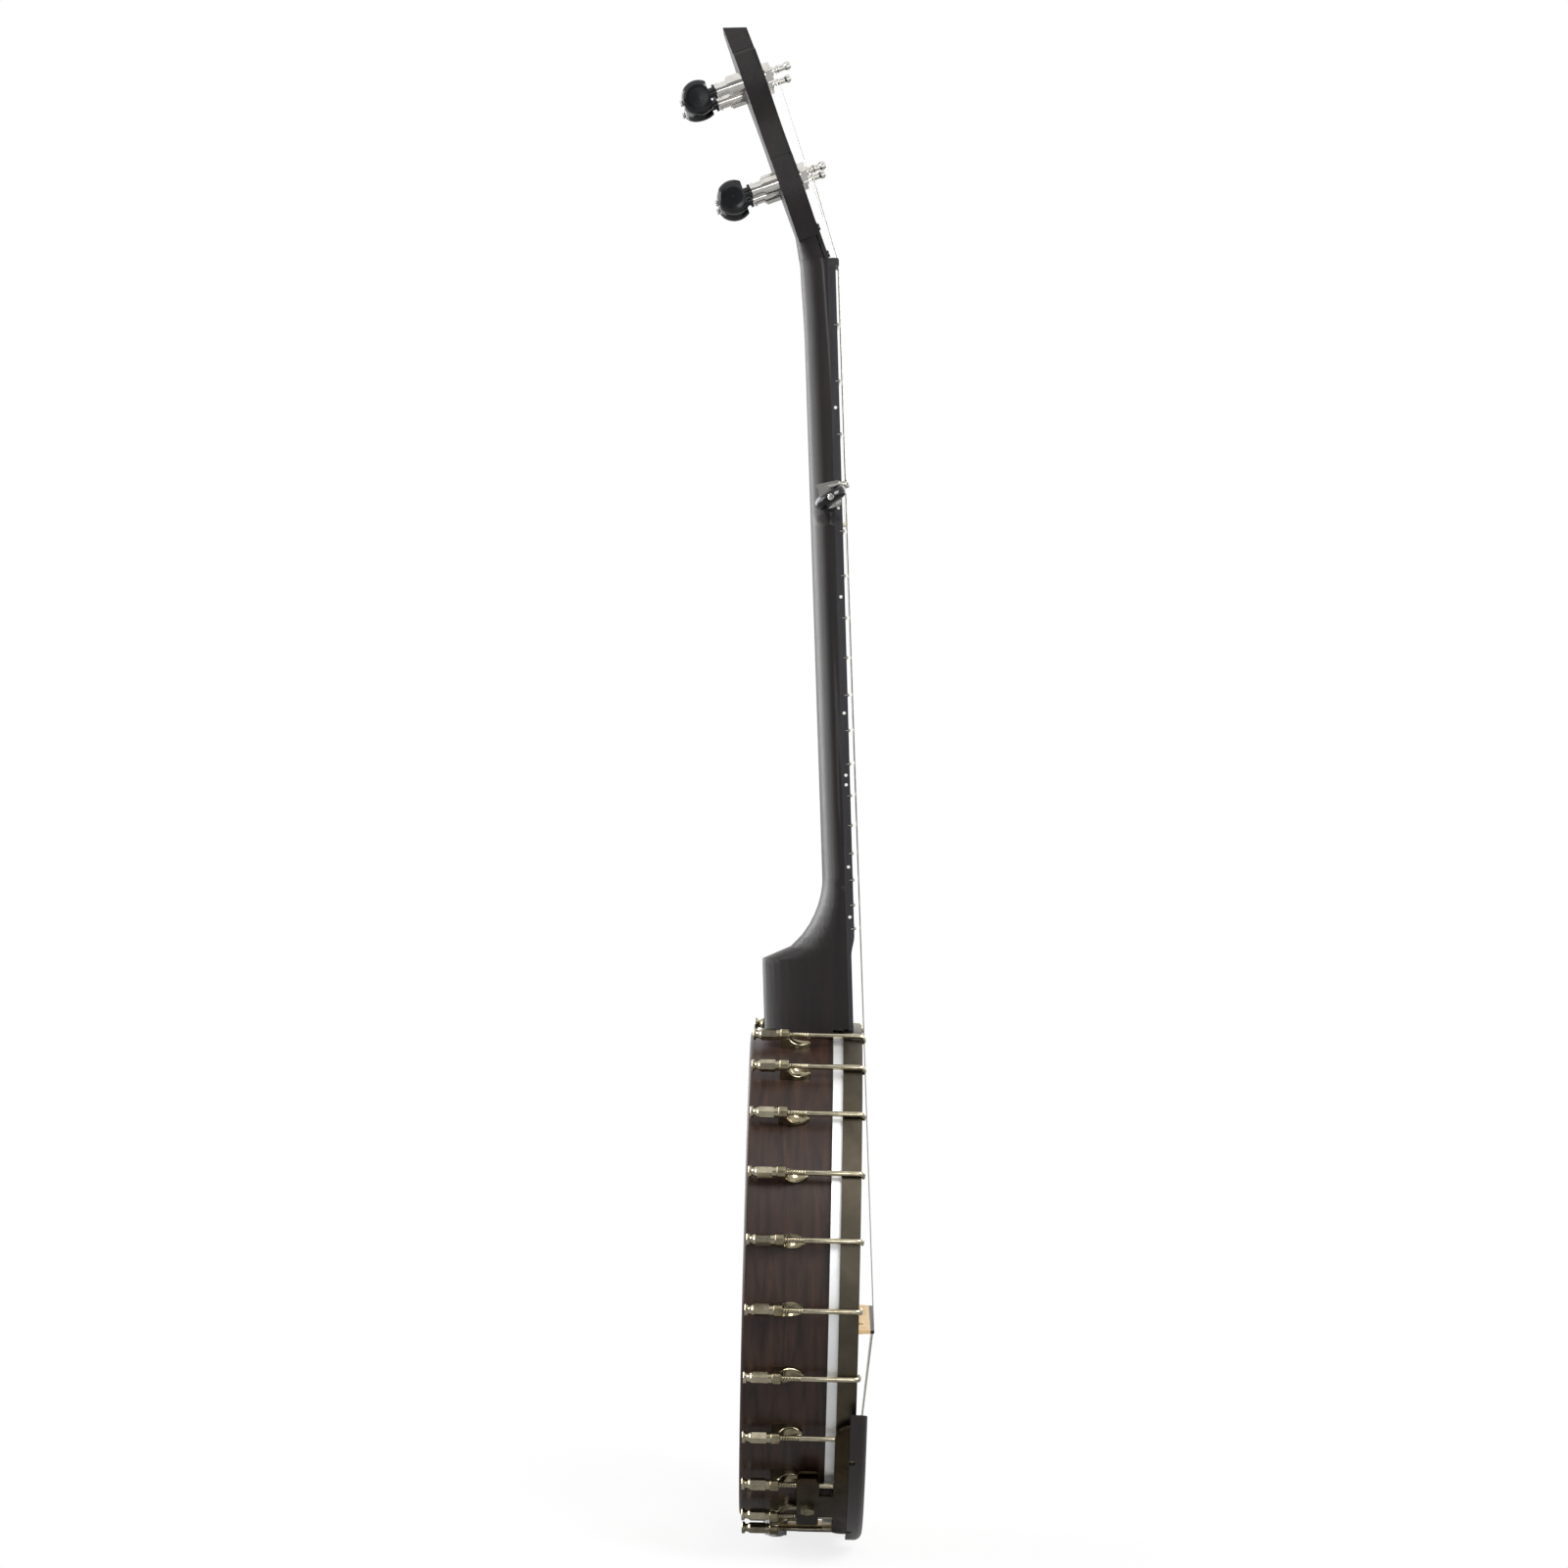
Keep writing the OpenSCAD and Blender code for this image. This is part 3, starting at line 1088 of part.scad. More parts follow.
// The board's outline is a lens between the pot's circle and a flatter arc
module lens_outline() {
    chord = rest_outer * sin(rest_span / 2);
    r_flat = (pow(chord, 2) + pow(lens_sag, 2)) / (2 * lens_sag);
    mid = rest_outer - rest_width;
    translate([0, rim_radius]) rotate(180 + rest_middle) intersection() {
        circle(r = rest_outer + 1, $fn = 128);
        translate([mid + r_flat, 0]) circle(r = r_flat, $fn = 128);
    }
}

// Points of a quarter round about a centre, from the angle a
function quarter(c, r, a) = [for (i = [0 : 15 : 90]) c + r * [cos(a + i), sin(a + i)]];
// The clamp's plates from outside: across, and towards the pot's back
function clamp_outline() = let (x = clamp_half - clamp_round, y0 = clamp_front_y + clamp_round,
        y1 = clamp_back_y - clamp_round)
    concat(quarter([x, y0], clamp_round, -90), quarter([x, y1], clamp_round, 0),
        quarter([-x, y1], clamp_round, 90), quarter([-x, y0], clamp_round, 180));
// The bracket: a plate under the board, an arm and the clamp's outer plate
function bracket_outline() = let (x0 = -plate_outer * sin(plate_high - clamp_middle),
        x1 = plate_outer * sin(clamp_middle - plate_low), y = plate_lip_y - bracket_round)
    concat([[x0, plate_front_y], [x1, plate_front_y]], quarter([x1 - bracket_round, y], bracket_round, 0),
        [[bracket_arm, plate_lip_y], [bracket_arm, clamp_front_y]], clamp_outline(),
        [[-bracket_arm, clamp_front_y], [-bracket_arm, plate_lip_y]],
        quarter([x0 + bracket_round, y], bracket_round, 90));

// A plate bent round the pot, its outline seen from outside the clamp
module bent_plate(r0, outline) intersection() {
    pot_arc(plate_low - 5, plate_high + 5) square_from([r0, hoop_front_y], [r0 + bracket_plate, back_y]);
    around(90 + clamp_middle) plate_z(rim_radius / 2, rest_outer) polygon(outline);
}

module armrest_bracket() color("#6b5a3c") difference() {
    bent_plate(plate_inner, bracket_outline());
    rest_bolt_place() rod_z(rest_bolt_bore, rim_radius, plate_outer + overcut);
    rest_screw_places() rod_z(rest_screw_radius + seat_gap, rim_radius, plate_outer + overcut);
}

module armrest_clamp() color("#6b5a3c") difference() {
    bent_plate(clamp_inner, clamp_outline());
    rest_bolt_place() rod_z(rest_bolt_bore, rim_radius, plate_outer + overcut);
}

module rest_bolt_place() around(90 + clamp_middle) translate([0, clamp_front_y + clamp_depth / 2, 0])
    children();

module armrest_bolt() color("#8c7b58") rest_bolt_place() {
    rod_z(rest_bolt_diameter / 2, clamp_inner, plate_outer + 1);
    hex_z(rest_bolt_flats, plate_outer + eps, plate_outer + rest_bolt_head);
}

module rest_screw_places() for (a = [rest_low + rest_screw_ends, rest_low + rest_span - rest_screw_ends])
    around(90 + a) translate([0, rest_screw_y, 0]) children();

module armrest_screws() color("#7c6b48") rest_screw_places() {
    rod_z(rest_screw_radius, plate_inner, plate_outer + 1);
    rod_z(rest_screw_head, plate_outer + eps, plate_outer + 1);
}

module string_wire(i) color("#c9c9c9") wire([hitch_point(i) + [0, 0, hitch_pin_r + 0.4], bridge_point(i),
    i == 5 ? pip_point() : nut_point(i), i == 5 ? peg5_post_point() : post_point(i)], string_radius[i - 1]);

rim();
tone_ring();
head();
flesh_hoop();
tension_hoop();
shoes();
shoe_bolts();
hooks();
hook_nuts();
coordinator_rod();
rod_nuts();
lag_bolts();
neck();
fingerboard();
frets();
face_dots();
side_dots();
nut();
fifth_string_pip();
truss_rod();
peghead_veneer();
truss_rod_cover();
cover_screws();
tuner_cases();
barrel_nuts();
tuner_post(1);  // tuner_post_1
tuner_post(2);  // tuner_post_2
tuner_post(3);  // tuner_post_3
tuner_post(4);  // tuner_post_4
tuner_button(1);  // tuner_button_1
tuner_button(2);  // tuner_button_2
tuner_button(3);  // tuner_button_3
tuner_button(4);  // tuner_button_4
button_screw(1);  // button_screw_1
button_screw(2);  // button_screw_2
button_screw(3);  // button_screw_3
button_screw(4);  // button_screw_4
peg5_housing();
peg5_ring_nut();
peg5_post();
peg5_button();
peg5_screw();
bridge();
bridge_cap();
tailpiece();
hitch_pins();
armrest_board();
armrest_bracket();
armrest_clamp();
armrest_bolt();
armrest_screws();
string_wire(1);  // string_1
string_wire(2);  // string_2
string_wire(3);  // string_3
string_wire(4);  // string_4
string_wire(5);  // string_5
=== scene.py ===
"""Looks, studio and camera for the five-string open-back banjo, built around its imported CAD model."""

import json
import math

import bmesh
import bpy
from mathutils import Matrix, Vector


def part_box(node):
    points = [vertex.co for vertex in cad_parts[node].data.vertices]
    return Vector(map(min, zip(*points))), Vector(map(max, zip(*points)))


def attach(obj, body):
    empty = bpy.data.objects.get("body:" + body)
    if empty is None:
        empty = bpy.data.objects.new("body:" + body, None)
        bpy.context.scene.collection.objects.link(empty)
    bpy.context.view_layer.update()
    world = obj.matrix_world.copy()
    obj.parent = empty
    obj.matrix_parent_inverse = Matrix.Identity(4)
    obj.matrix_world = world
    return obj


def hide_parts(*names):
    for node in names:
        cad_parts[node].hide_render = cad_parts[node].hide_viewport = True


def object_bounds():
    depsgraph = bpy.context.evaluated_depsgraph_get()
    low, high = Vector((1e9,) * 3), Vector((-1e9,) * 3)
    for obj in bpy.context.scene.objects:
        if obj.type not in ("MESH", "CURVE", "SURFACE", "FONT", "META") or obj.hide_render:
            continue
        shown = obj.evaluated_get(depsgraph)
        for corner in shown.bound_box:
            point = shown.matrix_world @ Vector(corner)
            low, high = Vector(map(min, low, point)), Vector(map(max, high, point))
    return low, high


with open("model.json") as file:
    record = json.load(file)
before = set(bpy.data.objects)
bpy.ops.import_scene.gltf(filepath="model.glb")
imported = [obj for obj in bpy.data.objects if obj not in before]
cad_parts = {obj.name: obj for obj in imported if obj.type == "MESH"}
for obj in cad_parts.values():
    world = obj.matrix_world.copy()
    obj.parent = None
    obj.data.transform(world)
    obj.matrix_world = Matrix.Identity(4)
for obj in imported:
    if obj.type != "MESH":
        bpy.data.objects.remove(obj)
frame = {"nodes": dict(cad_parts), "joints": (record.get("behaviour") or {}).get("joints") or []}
CAD_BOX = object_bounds()
NODES = frame["nodes"]
MM = 0.001

RIM_LOW, RIM_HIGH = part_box("rim")
POT_CENTRE_Z = (RIM_LOW.z + RIM_HIGH.z) / 2
RIM_RADIUS = (RIM_HIGH.x - RIM_LOW.x) / 2


# ---------------------------------------------------------------- patterns

def linear(hexcode):
    """An sRGB hex colour as the linear RGBA that a shader socket takes."""
    parts = [int(hexcode[i:i + 2], 16) / 255 for i in (1, 3, 5)]
    curve = [p / 12.92 if p <= 0.04045 else ((p + 0.055) / 1.055) ** 2.4 for p in parts]
    return (*curve, 1.0)


def add(tree, kind, settings=None, sockets=None):
    """Adds a node: settings are its own properties, sockets take a value or another node's output."""
    made = tree.nodes.new(kind)
    for name, value in (settings or {}).items():
        setattr(made, name, value)
    for name, value in (sockets or {}).items():
        if isinstance(value, bpy.types.NodeSocket):
            tree.links.new(value, made.inputs[name])
        else:
            made.inputs[name].default_value = value
    return made


def new_finish(name):
    """An empty material with its output node; returns the material, its tree and that node."""
    made = bpy.data.materials.new(name)
    made.use_nodes = True
    made.node_tree.nodes.clear()
    return made, made.node_tree, add(made.node_tree, "ShaderNodeOutputMaterial")


def straight(tree):
    """Coordinates of the piece itself, in metres."""
    return add(tree, "ShaderNodeTexCoord").outputs["Object"]


def round_the_pot(tree):
    """Coordinates in metres that run outwards, along the pot's depth and along its circumference."""
    placed = add(tree, "ShaderNodeVectorMath", {"operation": "SUBTRACT"},
                 {0: straight(tree), 1: (0.0, 0.0, POT_CENTRE_Z)}).outputs[0]
    parts = add(tree, "ShaderNodeSeparateXYZ", {}, {0: placed}).outputs
    flat = add(tree, "ShaderNodeCombineXYZ", {}, {"X": parts["X"], "Z": parts["Z"]}).outputs[0]
    out = add(tree, "ShaderNodeVectorMath", {"operation": "LENGTH"}, {0: flat}).outputs["Value"]
    angle = add(tree, "ShaderNodeMath", {"operation": "ARCTAN2"}, {0: parts["X"], 1: parts["Z"]})
    along = add(tree, "ShaderNodeMath", {"operation": "MULTIPLY"},
                {0: angle.outputs[0], 1: RIM_RADIUS})
    return add(tree, "ShaderNodeCombineXYZ", {},
               {"X": out, "Y": parts["Y"], "Z": along.outputs[0]}).outputs[0]


def in_cells(tree, way, size_mm):
    """Coordinates counted in cells of a real size, in millimetres along x, y and z."""
    per_metre = tuple(1 / (s * MM) for s in size_mm)
    return add(tree, "ShaderNodeVectorMath", {"operation": "MULTIPLY"},
               {0: way, 1: per_metre}).outputs[0]


def grown(tree, way, size_mm, detail, roughness, distortion=0.0):
    """An irregular pattern from 0 to 1, in cells of a real size in millimetres."""
    return add(tree, "ShaderNodeTexNoise", {},
               {"Vector": in_cells(tree, way, size_mm), "Scale": 1.0, "Detail": detail,
                "Roughness": roughness, "Distortion": distortion}).outputs["Fac"]


# Sockets of the mix node, which has a pair of inputs for each data type: these are the colours'
MIX_FACTOR, MIX_A, MIX_B, MIX_RESULT = 0, 6, 7, 2


def tinted(tree, pattern, low, high, first, second, most=1.0):
    """The first colour, turning to the second as the pattern goes from low to high, but no further
    than most; a colour is a hex code or another node's output."""
    share = add(tree, "ShaderNodeMapRange", {"clamp": True},
                {"Value": pattern, "From Min": low, "From Max": high, "To Min": 0.0, "To Max": most})
    ends = [linear(c) if isinstance(c, str) else c for c in (first, second)]
    mixed = add(tree, "ShaderNodeMix", {"data_type": "RGBA"},
                {MIX_FACTOR: share.outputs[0], MIX_A: ends[0], MIX_B: ends[1]})
    return mixed.outputs[MIX_RESULT]


# ---------------------------------------------------------------- finishes

def grained_wood(name, dark, light, pores, roughness, coat=0.0, run=straight, figure_mm=(7, 7, 60),
                 fibre_mm=(0.7, 0.7, 26), pore_mm=(0.35, 0.35, 7), pore_depth_mm=0.05):
    """Worked hardwood: broad figure, fine fibres along the grain and short darker pores."""
    made, tree, out = new_finish(name)
    way = run(tree)
    figure = grown(tree, way, figure_mm, detail=3.0, roughness=0.5, distortion=0.6)
    fibre = grown(tree, way, fibre_mm, detail=5.0, roughness=0.65)
    speckle = grown(tree, way, pore_mm, detail=2.0, roughness=0.5)
    pore = add(tree, "ShaderNodeMapRange", {"clamp": True},
               {"Value": speckle, "From Min": 0.62, "From Max": 0.74}).outputs[0]
    ground = tinted(tree, figure, 0.3, 0.72, dark, light)
    fibred = tinted(tree, fibre, 0.35, 0.8, ground, dark, most=0.55)
    gloss = add(tree, "ShaderNodeMapRange", {"clamp": True},
                {"Value": fibre, "From Min": 0.2, "From Max": 0.8,
                 "To Min": roughness - 0.06, "To Max": roughness + 0.08})
    grain = add(tree, "ShaderNodeMath", {"operation": "SUBTRACT"}, {0: fibre, 1: pore})
    bump = add(tree, "ShaderNodeBump", {},
               {"Strength": 0.35, "Distance": pore_depth_mm * MM, "Height": grain.outputs[0]})
    shader = add(tree, "ShaderNodeBsdfPrincipled", {},
                 {"Base Color": tinted(tree, pore, 0.0, 1.0, fibred, pores, most=0.7),
                  "Roughness": gloss.outputs[0], "IOR": 1.5, "Specular IOR Level": 0.4,
                  "Coat Weight": coat, "Coat Roughness": 0.2, "Normal": bump.outputs[0]})
    tree.links.new(shader.outputs[0], out.inputs[0])
    return made


def bright_metal(name, tint, shade, roughness, mottle_mm, line_mm, line_depth_mm, spread=0.06):
    """Metal with a cast tint: slow tarnish mottling, and fine polishing lines that break its gloss."""
    made, tree, out = new_finish(name)
    way = straight(tree)
    mottle = grown(tree, way, (mottle_mm,) * 3, detail=4.0, roughness=0.6, distortion=0.4)
    line = grown(tree, way, line_mm, detail=3.0, roughness=0.6)
    dulled = add(tree, "ShaderNodeMapRange", {"clamp": True},
                 {"Value": mottle, "From Min": 0.3, "From Max": 0.7,
                  "To Min": roughness - spread / 2, "To Max": roughness + spread / 2})
    brushed = add(tree, "ShaderNodeMapRange", {"clamp": True},
                  {"Value": line, "From Min": 0.3, "From Max": 0.7,
                   "To Min": -spread / 3, "To Max": spread / 3})
    gloss = add(tree, "ShaderNodeMath", {"operation": "ADD"},
                {0: dulled.outputs[0], 1: brushed.outputs[0]})
    bump = add(tree, "ShaderNodeBump", {},
               {"Strength": 0.25, "Distance": line_depth_mm * MM, "Height": line})
    shader = add(tree, "ShaderNodeBsdfPrincipled", {},
                 {"Base Color": tinted(tree, mottle, 0.34, 0.7, tint, shade), "Metallic": 1.0,
                  "Roughness": gloss.outputs[0], "Normal": bump.outputs[0]})
    tree.links.new(shader.outputs[0], out.inputs[0])
    return made


def moulded(name, colour, worn, roughness, ior, ripple_mm, ripple_depth_mm):
    """A moulded or filed solid: an even colour, a faint tool ripple and slow changes of gloss."""
    made, tree, out = new_finish(name)
    way = straight(tree)
    ripple = grown(tree, way, (ripple_mm,) * 3, detail=4.0, roughness=0.55)
    handled = grown(tree, way, (ripple_mm * 3,) * 3, detail=3.0, roughness=0.5)
    gloss = add(tree, "ShaderNodeMapRange", {"clamp": True},
                {"Value": handled, "From Min": 0.3, "From Max": 0.7,
                 "To Min": roughness - 0.05, "To Max": roughness + 0.07})
    bump = add(tree, "ShaderNodeBump", {},
               {"Strength": 0.3, "Distance": ripple_depth_mm * MM, "Height": ripple})
    shader = add(tree, "ShaderNodeBsdfPrincipled", {},
                 {"Base Color": tinted(tree, handled, 0.4, 0.75, colour, worn),
                  "Roughness": gloss.outputs[0], "IOR": ior, "Normal": bump.outputs[0]})
    tree.links.new(shader.outputs[0], out.inputs[0])
    return made


def pearl_shell(name, cream, shadow):
    """Mother-of-pearl, ground flat: wavy bands that shift from cream to grey-blue under a polish."""
    made, tree, out = new_finish(name)
    bands = grown(tree, straight(tree), (1.6, 1.6, 0.5), detail=3.0, roughness=0.5, distortion=1.8)
    gloss = add(tree, "ShaderNodeMapRange", {"clamp": True},
                {"Value": bands, "From Min": 0.3, "From Max": 0.7, "To Min": 0.18, "To Max": 0.3})
    bump = add(tree, "ShaderNodeBump", {},
               {"Strength": 0.1, "Distance": 0.004 * MM, "Height": bands})
    shader = add(tree, "ShaderNodeBsdfPrincipled", {},
                 {"Base Color": tinted(tree, bands, 0.35, 0.7, cream, shadow),
                  "Roughness": gloss.outputs[0], "IOR": 1.55, "Coat Weight": 0.6,
                  "Coat Roughness": 0.05, "Normal": bump.outputs[0]})
    tree.links.new(shader.outputs[0], out.inputs[0])
    return made


def frosted_film(name, fresh, rubbed_tone, grit_tone):
    """Polyester drum head, sprayed on its face: fine white grit, rubbed slightly smooth in patches."""
    made, tree, out = new_finish(name)
    way = straight(tree)
    # The real grit is about 0.1 mm; it is drawn at 0.6 mm so that it shows
    grit = grown(tree, way, (0.6,) * 3, detail=3.0, roughness=0.7)
    rubbed = grown(tree, way, (45,) * 3, detail=4.0, roughness=0.55, distortion=0.3)
    tone = tinted(tree, rubbed, 0.4, 0.75, fresh, rubbed_tone)
    gloss = add(tree, "ShaderNodeMapRange", {"clamp": True},
                {"Value": rubbed, "From Min": 0.3, "From Max": 0.7, "To Min": 0.46, "To Max": 0.6})
    bump = add(tree, "ShaderNodeBump", {},
               {"Strength": 0.3, "Distance": 0.03 * MM, "Height": grit})
    shader = add(tree, "ShaderNodeBsdfPrincipled", {},
                 {"Base Color": tinted(tree, grit, 0.45, 0.8, tone, grit_tone, most=0.35),
                  "Roughness": gloss.outputs[0], "IOR": 1.57, "Subsurface Weight": 0.15,
                  "Subsurface Radius": (MM, MM, MM), "Normal": bump.outputs[0]})
    tree.links.new(shader.outputs[0], out.inputs[0])
    return made


def wound_wire(name, tint, painted_groove_shade, winding_mm):
    """Steel string wrapped with round nickel wire: rings across the string, one for each winding, with
    painted shade in the grooves between them.
    """
    made, tree, out = new_finish(name)
    # A wave of scale 1 repeats every pi / 10 units
    way = in_cells(tree, straight(tree), (winding_mm / (math.pi / 10),) * 3)
    rings = add(tree, "ShaderNodeTexWave", {"bands_direction": "Z"},
                {"Vector": way, "Scale": 1.0}).outputs["Fac"]
    bump = add(tree, "ShaderNodeBump", {},
               {"Strength": 0.6, "Distance": 0.03 * MM, "Height": rings})
    shader = add(tree, "ShaderNodeBsdfPrincipled", {},
                 # The grooves between the windings take a darker colour: painted shade
                 {"Base Color": tinted(tree, rings, 0.0, 1.0, painted_groove_shade, tint), "Metallic": 1.0,
                  "Roughness": 0.32, "Normal": bump.outputs[0]})
    tree.links.new(shader.outputs[0], out.inputs[0])
    return made


# Each finish: how it is made, its settings, and the nodes that wear it
FINISHES = {
    # Bent maple, stained dark brown and lacquered: satin, its grain round the pot
    "stained_maple_rim": (
        grained_wood, dict(dark="#1f1410", light="#432e25", pores="#0b0605", roughness=0.34,
                           run=round_the_pot, figure_mm=(16, 5, 38), fibre_mm=(0.8, 0.5, 22),
                           pore_mm=(0.5, 0.35, 6)),
        ["rim"]),
    # Walnut, stained nearly black and finished satin: long straight grain
    "stained_walnut_neck": (
        grained_wood, dict(dark="#0d0a0a", light="#1b1413", pores="#060404", roughness=0.42),
        ["neck"]),
    # Black-dyed veneer on the face of the peghead: like the neck, a little glossier
    "dark_head_veneer": (
        grained_wood, dict(dark="#0d0b0b", light="#181312", pores="#060505", roughness=0.36),
        ["peghead_veneer"]),
    # Ebony board, oiled and worn smooth by the strings: blue-black with faint straight grain
    "oiled_ebony": (
        grained_wood, dict(dark="#1c1c20", light="#2f2e33", pores="#0d0c0e", roughness=0.36,
                           figure_mm=(5, 5, 70), fibre_mm=(0.5, 0.5, 30), pore_mm=(0.3, 0.3, 9),
                           pore_depth_mm=0.02),
        ["fingerboard"]),
    # The same wood across the bridge, its grain from side to side
    "ebony_cap": (
        grained_wood, dict(dark="#131213", light="#242223", pores="#090809", roughness=0.34,
                           figure_mm=(40, 4, 4), fibre_mm=(22, 0.5, 0.5), pore_mm=(7, 0.3, 0.3),
                           pore_depth_mm=0.02),
        ["bridge_cap"]),
    # Unfinished hard maple, planed: pale straw with small brown flecks
    "plain_maple": (
        grained_wood, dict(dark="#c9a77c", light="#e4cba4", pores="#a07b50", roughness=0.55,
                           figure_mm=(30, 3, 3), fibre_mm=(18, 0.5, 0.5), pore_mm=(3, 0.25, 0.25),
                           pore_depth_mm=0.02),
        ["bridge"]),
    # Dark hardwood, bent and lacquered: the only wood whose lacquer stands as a glossy coat
    "dark_armrest_wood": (
        grained_wood, dict(dark="#150e0c", light="#241a17", pores="#0a0706", roughness=0.32,
                           coat=0.3, run=round_the_pot, figure_mm=(8, 8, 50),
                           fibre_mm=(0.6, 0.6, 24), pore_mm=(0.35, 0.35, 6)),
        ["armrest_board"]),
    # Brass with an antique brown-olive dip, buffed back: dull and dark on the hoop and the bracket,
    # paler and brighter on the hooks and the shoes
    "antique_brass_hoop": (
        bright_metal, dict(tint="#5d574b", shade="#484238", roughness=0.36, mottle_mm=26,
                           line_mm=(0.4, 0.3, 0.4), line_depth_mm=0.01),
        ["tension_hoop"]),
    "antique_brass_shoes": (
        bright_metal, dict(tint="#a89e84", shade="#776e58", roughness=0.18, mottle_mm=5,
                           line_mm=(0.5, 0.5, 0.5), line_depth_mm=0.008),
        ["shoes", "shoe_bolts", "armrest_bolt", "armrest_screws"]),
    "antique_brass_hooks": (
        bright_metal, dict(tint="#beb6a0", shade="#989078", roughness=0.15, mottle_mm=7,
                           line_mm=(0.3, 0.6, 0.3), line_depth_mm=0.004),
        ["hooks", "hook_nuts"]),
    "antique_brass_bracket": (
        bright_metal, dict(tint="#443a2b", shade="#2c251b", roughness=0.3, mottle_mm=12,
                           line_mm=(0.4, 0.4, 0.4), line_depth_mm=0.01),
        ["armrest_bracket", "armrest_clamp"]),
    # Rolled and polished brass, unlacquered
    "polished_brass": (
        bright_metal, dict(tint="#cdb27c", shade="#a58a55", roughness=0.22, mottle_mm=14,
                           line_mm=(0.3, 0.3, 0.6), line_depth_mm=0.004),
        ["tone_ring", "tailpiece", "hitch_pins"]),
    # Aluminium hoop, drawn and satin polished
    "polished_aluminium": (
        bright_metal, dict(tint="#fbfbfb", shade="#eceded", roughness=0.5, mottle_mm=30,
                           line_mm=(0.3, 0.3, 0.3), line_depth_mm=0.004),
        ["flesh_hoop"]),
    # Nickel plate over brass, machine polished
    "nickel_plate": (
        bright_metal, dict(tint="#e6e4df", shade="#cfccc4", roughness=0.09, mottle_mm=6,
                           line_mm=(0.3, 0.3, 0.3), line_depth_mm=0.001, spread=0.03),
        ["tuner_cases", "barrel_nuts", *(f"tuner_post_{k}" for k in range(1, 5)),
         *(f"button_screw_{k}" for k in range(1, 5)),
         "peg5_housing", "peg5_ring_nut", "peg5_post", "peg5_screw"]),
    # Steel rod and bolts, turned and zinc plated
    "zinc_plated_steel": (
        bright_metal, dict(tint="#c8c9c8", shade="#a4a6a6", roughness=0.33, mottle_mm=10,
                           line_mm=(0.3, 0.3, 0.3), line_depth_mm=0.006),
        ["coordinator_rod", "rod_nuts", "lag_bolts", "truss_rod"]),
    # Nickel silver fret wire, crowned and polished
    "fret_wire": (
        bright_metal, dict(tint="#dcd8cd", shade="#bdb8aa", roughness=0.16, mottle_mm=6,
                           line_mm=(0.3, 0.3, 0.3), line_depth_mm=0.003),
        ["frets"]),
    # Drawn steel wire, bare
    "plain_steel_string": (
        bright_metal, dict(tint="#d6d6d4", shade="#b9b9b6", roughness=0.2, mottle_mm=12,
                           line_mm=(0.3, 0.3, 0.3), line_depth_mm=0.002),
        ["string_1", "string_2", "string_3", "string_5"]),
    # Steel wire wound with nickel, its grooves darkened with painted shade: the windings are drawn
    # finer than the real ones and do not show as rings, only as a duller sheen
    "wound_string": (
        wound_wire, dict(tint="#cfcbc2", painted_groove_shade="#6f6b64", winding_mm=0.049348),
        ["string_4"]),
    # ABS, injection moulded in a polished tool: deep glossy black with a soft ripple
    "black_abs": (
        moulded, dict(colour="#08090c", worn="#0f1115", roughness=0.16, ior=1.5,
                      ripple_mm=5.0, ripple_depth_mm=0.006),
        [*(f"tuner_button_{k}" for k in range(1, 5)), "peg5_button"]),
    # Paper composite, filed and left matt
    "black_composite": (
        moulded, dict(colour="#121214", worn="#202023", roughness=0.32, ior=1.5,
                      ripple_mm=1.4, ripple_depth_mm=0.01),
        ["nut", "truss_rod_cover", "cover_screws"]),
    # Bone, bleached and filed
    "bleached_bone": (
        moulded, dict(colour="#e6dfcd", worn="#d0c5ab", roughness=0.35, ior=1.54,
                      ripple_mm=0.8, ripple_depth_mm=0.01),
        ["fifth_string_pip"]),
    # Mother-of-pearl dots, ground flat and polished: cream with a cool shimmer
    "white_pearl": (
        pearl_shell, dict(cream="#f3efe4", shadow="#cdd3d6"),
        ["face_dots", "side_dots"]),
    # Polyester film, sprayed white on its face: matt and gritty
    "frosted_head": (
        frosted_film, dict(fresh="#efede6", rubbed_tone="#e4e0d4", grit_tone="#d6d2c6"),
        ["head"]),
}

MATERIALS = {name: make(name, **settings) for name, (make, settings, _) in FINISHES.items()}
for name, (_, _, worn_by) in FINISHES.items():
    for node in worn_by:
        mesh = NODES[node].data
        mesh.materials.clear()
        mesh.materials.append(MATERIALS[name])


# ---------------------------------------------------------------- pieces in place of plainer CAD ones

def own_piece(name, build, finish, node, crease_deg, body="root"):
    """A finished piece that stands for a CAD node: smooth but for edges sharper than the crease."""
    mesh = bpy.data.meshes.new(name)
    bmesh.ops.recalc_face_normals(build, faces=build.faces)
    build.to_mesh(mesh)
    build.free()
    mesh.shade_smooth()
    mesh.set_sharp_from_angle(angle=math.radians(crease_deg))
    mesh.materials.append(MATERIALS[finish])
    piece = bpy.data.objects.new(name, mesh)
    bpy.context.scene.collection.objects.link(piece)
    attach(piece, body)
    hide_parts(node)
    return piece


def welded_copy(node, weld):
    """A CAD node's mesh to work on, with its corners closer than the weld joined."""
    build = bmesh.new()
    build.from_mesh(NODES[node].data)
    bmesh.ops.remove_doubles(build, verts=build.verts, dist=weld)
    return build


def sweep(build, rings):
    """Skins a run of rings, each with as many points as the last, and closes both ends."""
    rows = [[build.verts.new(p) for p in ring] for ring in rings]
    for low, high in zip(rows, rows[1:]):
        for i in range(len(low)):
            j = (i + 1) % len(low)
            build.faces.new((low[i], low[j], high[j], high[i]))
    build.faces.new(rows[0][::-1])
    build.faces.new(rows[-1])


def circle(middle, across, upward, wide, high, sides):
    """A round or oval ring of points about its middle, between two directions."""
    angles = [2 * math.pi * i / sides for i in range(sides)]
    return [middle + across * wide * math.cos(a) + upward * high * math.sin(a) for a in angles]


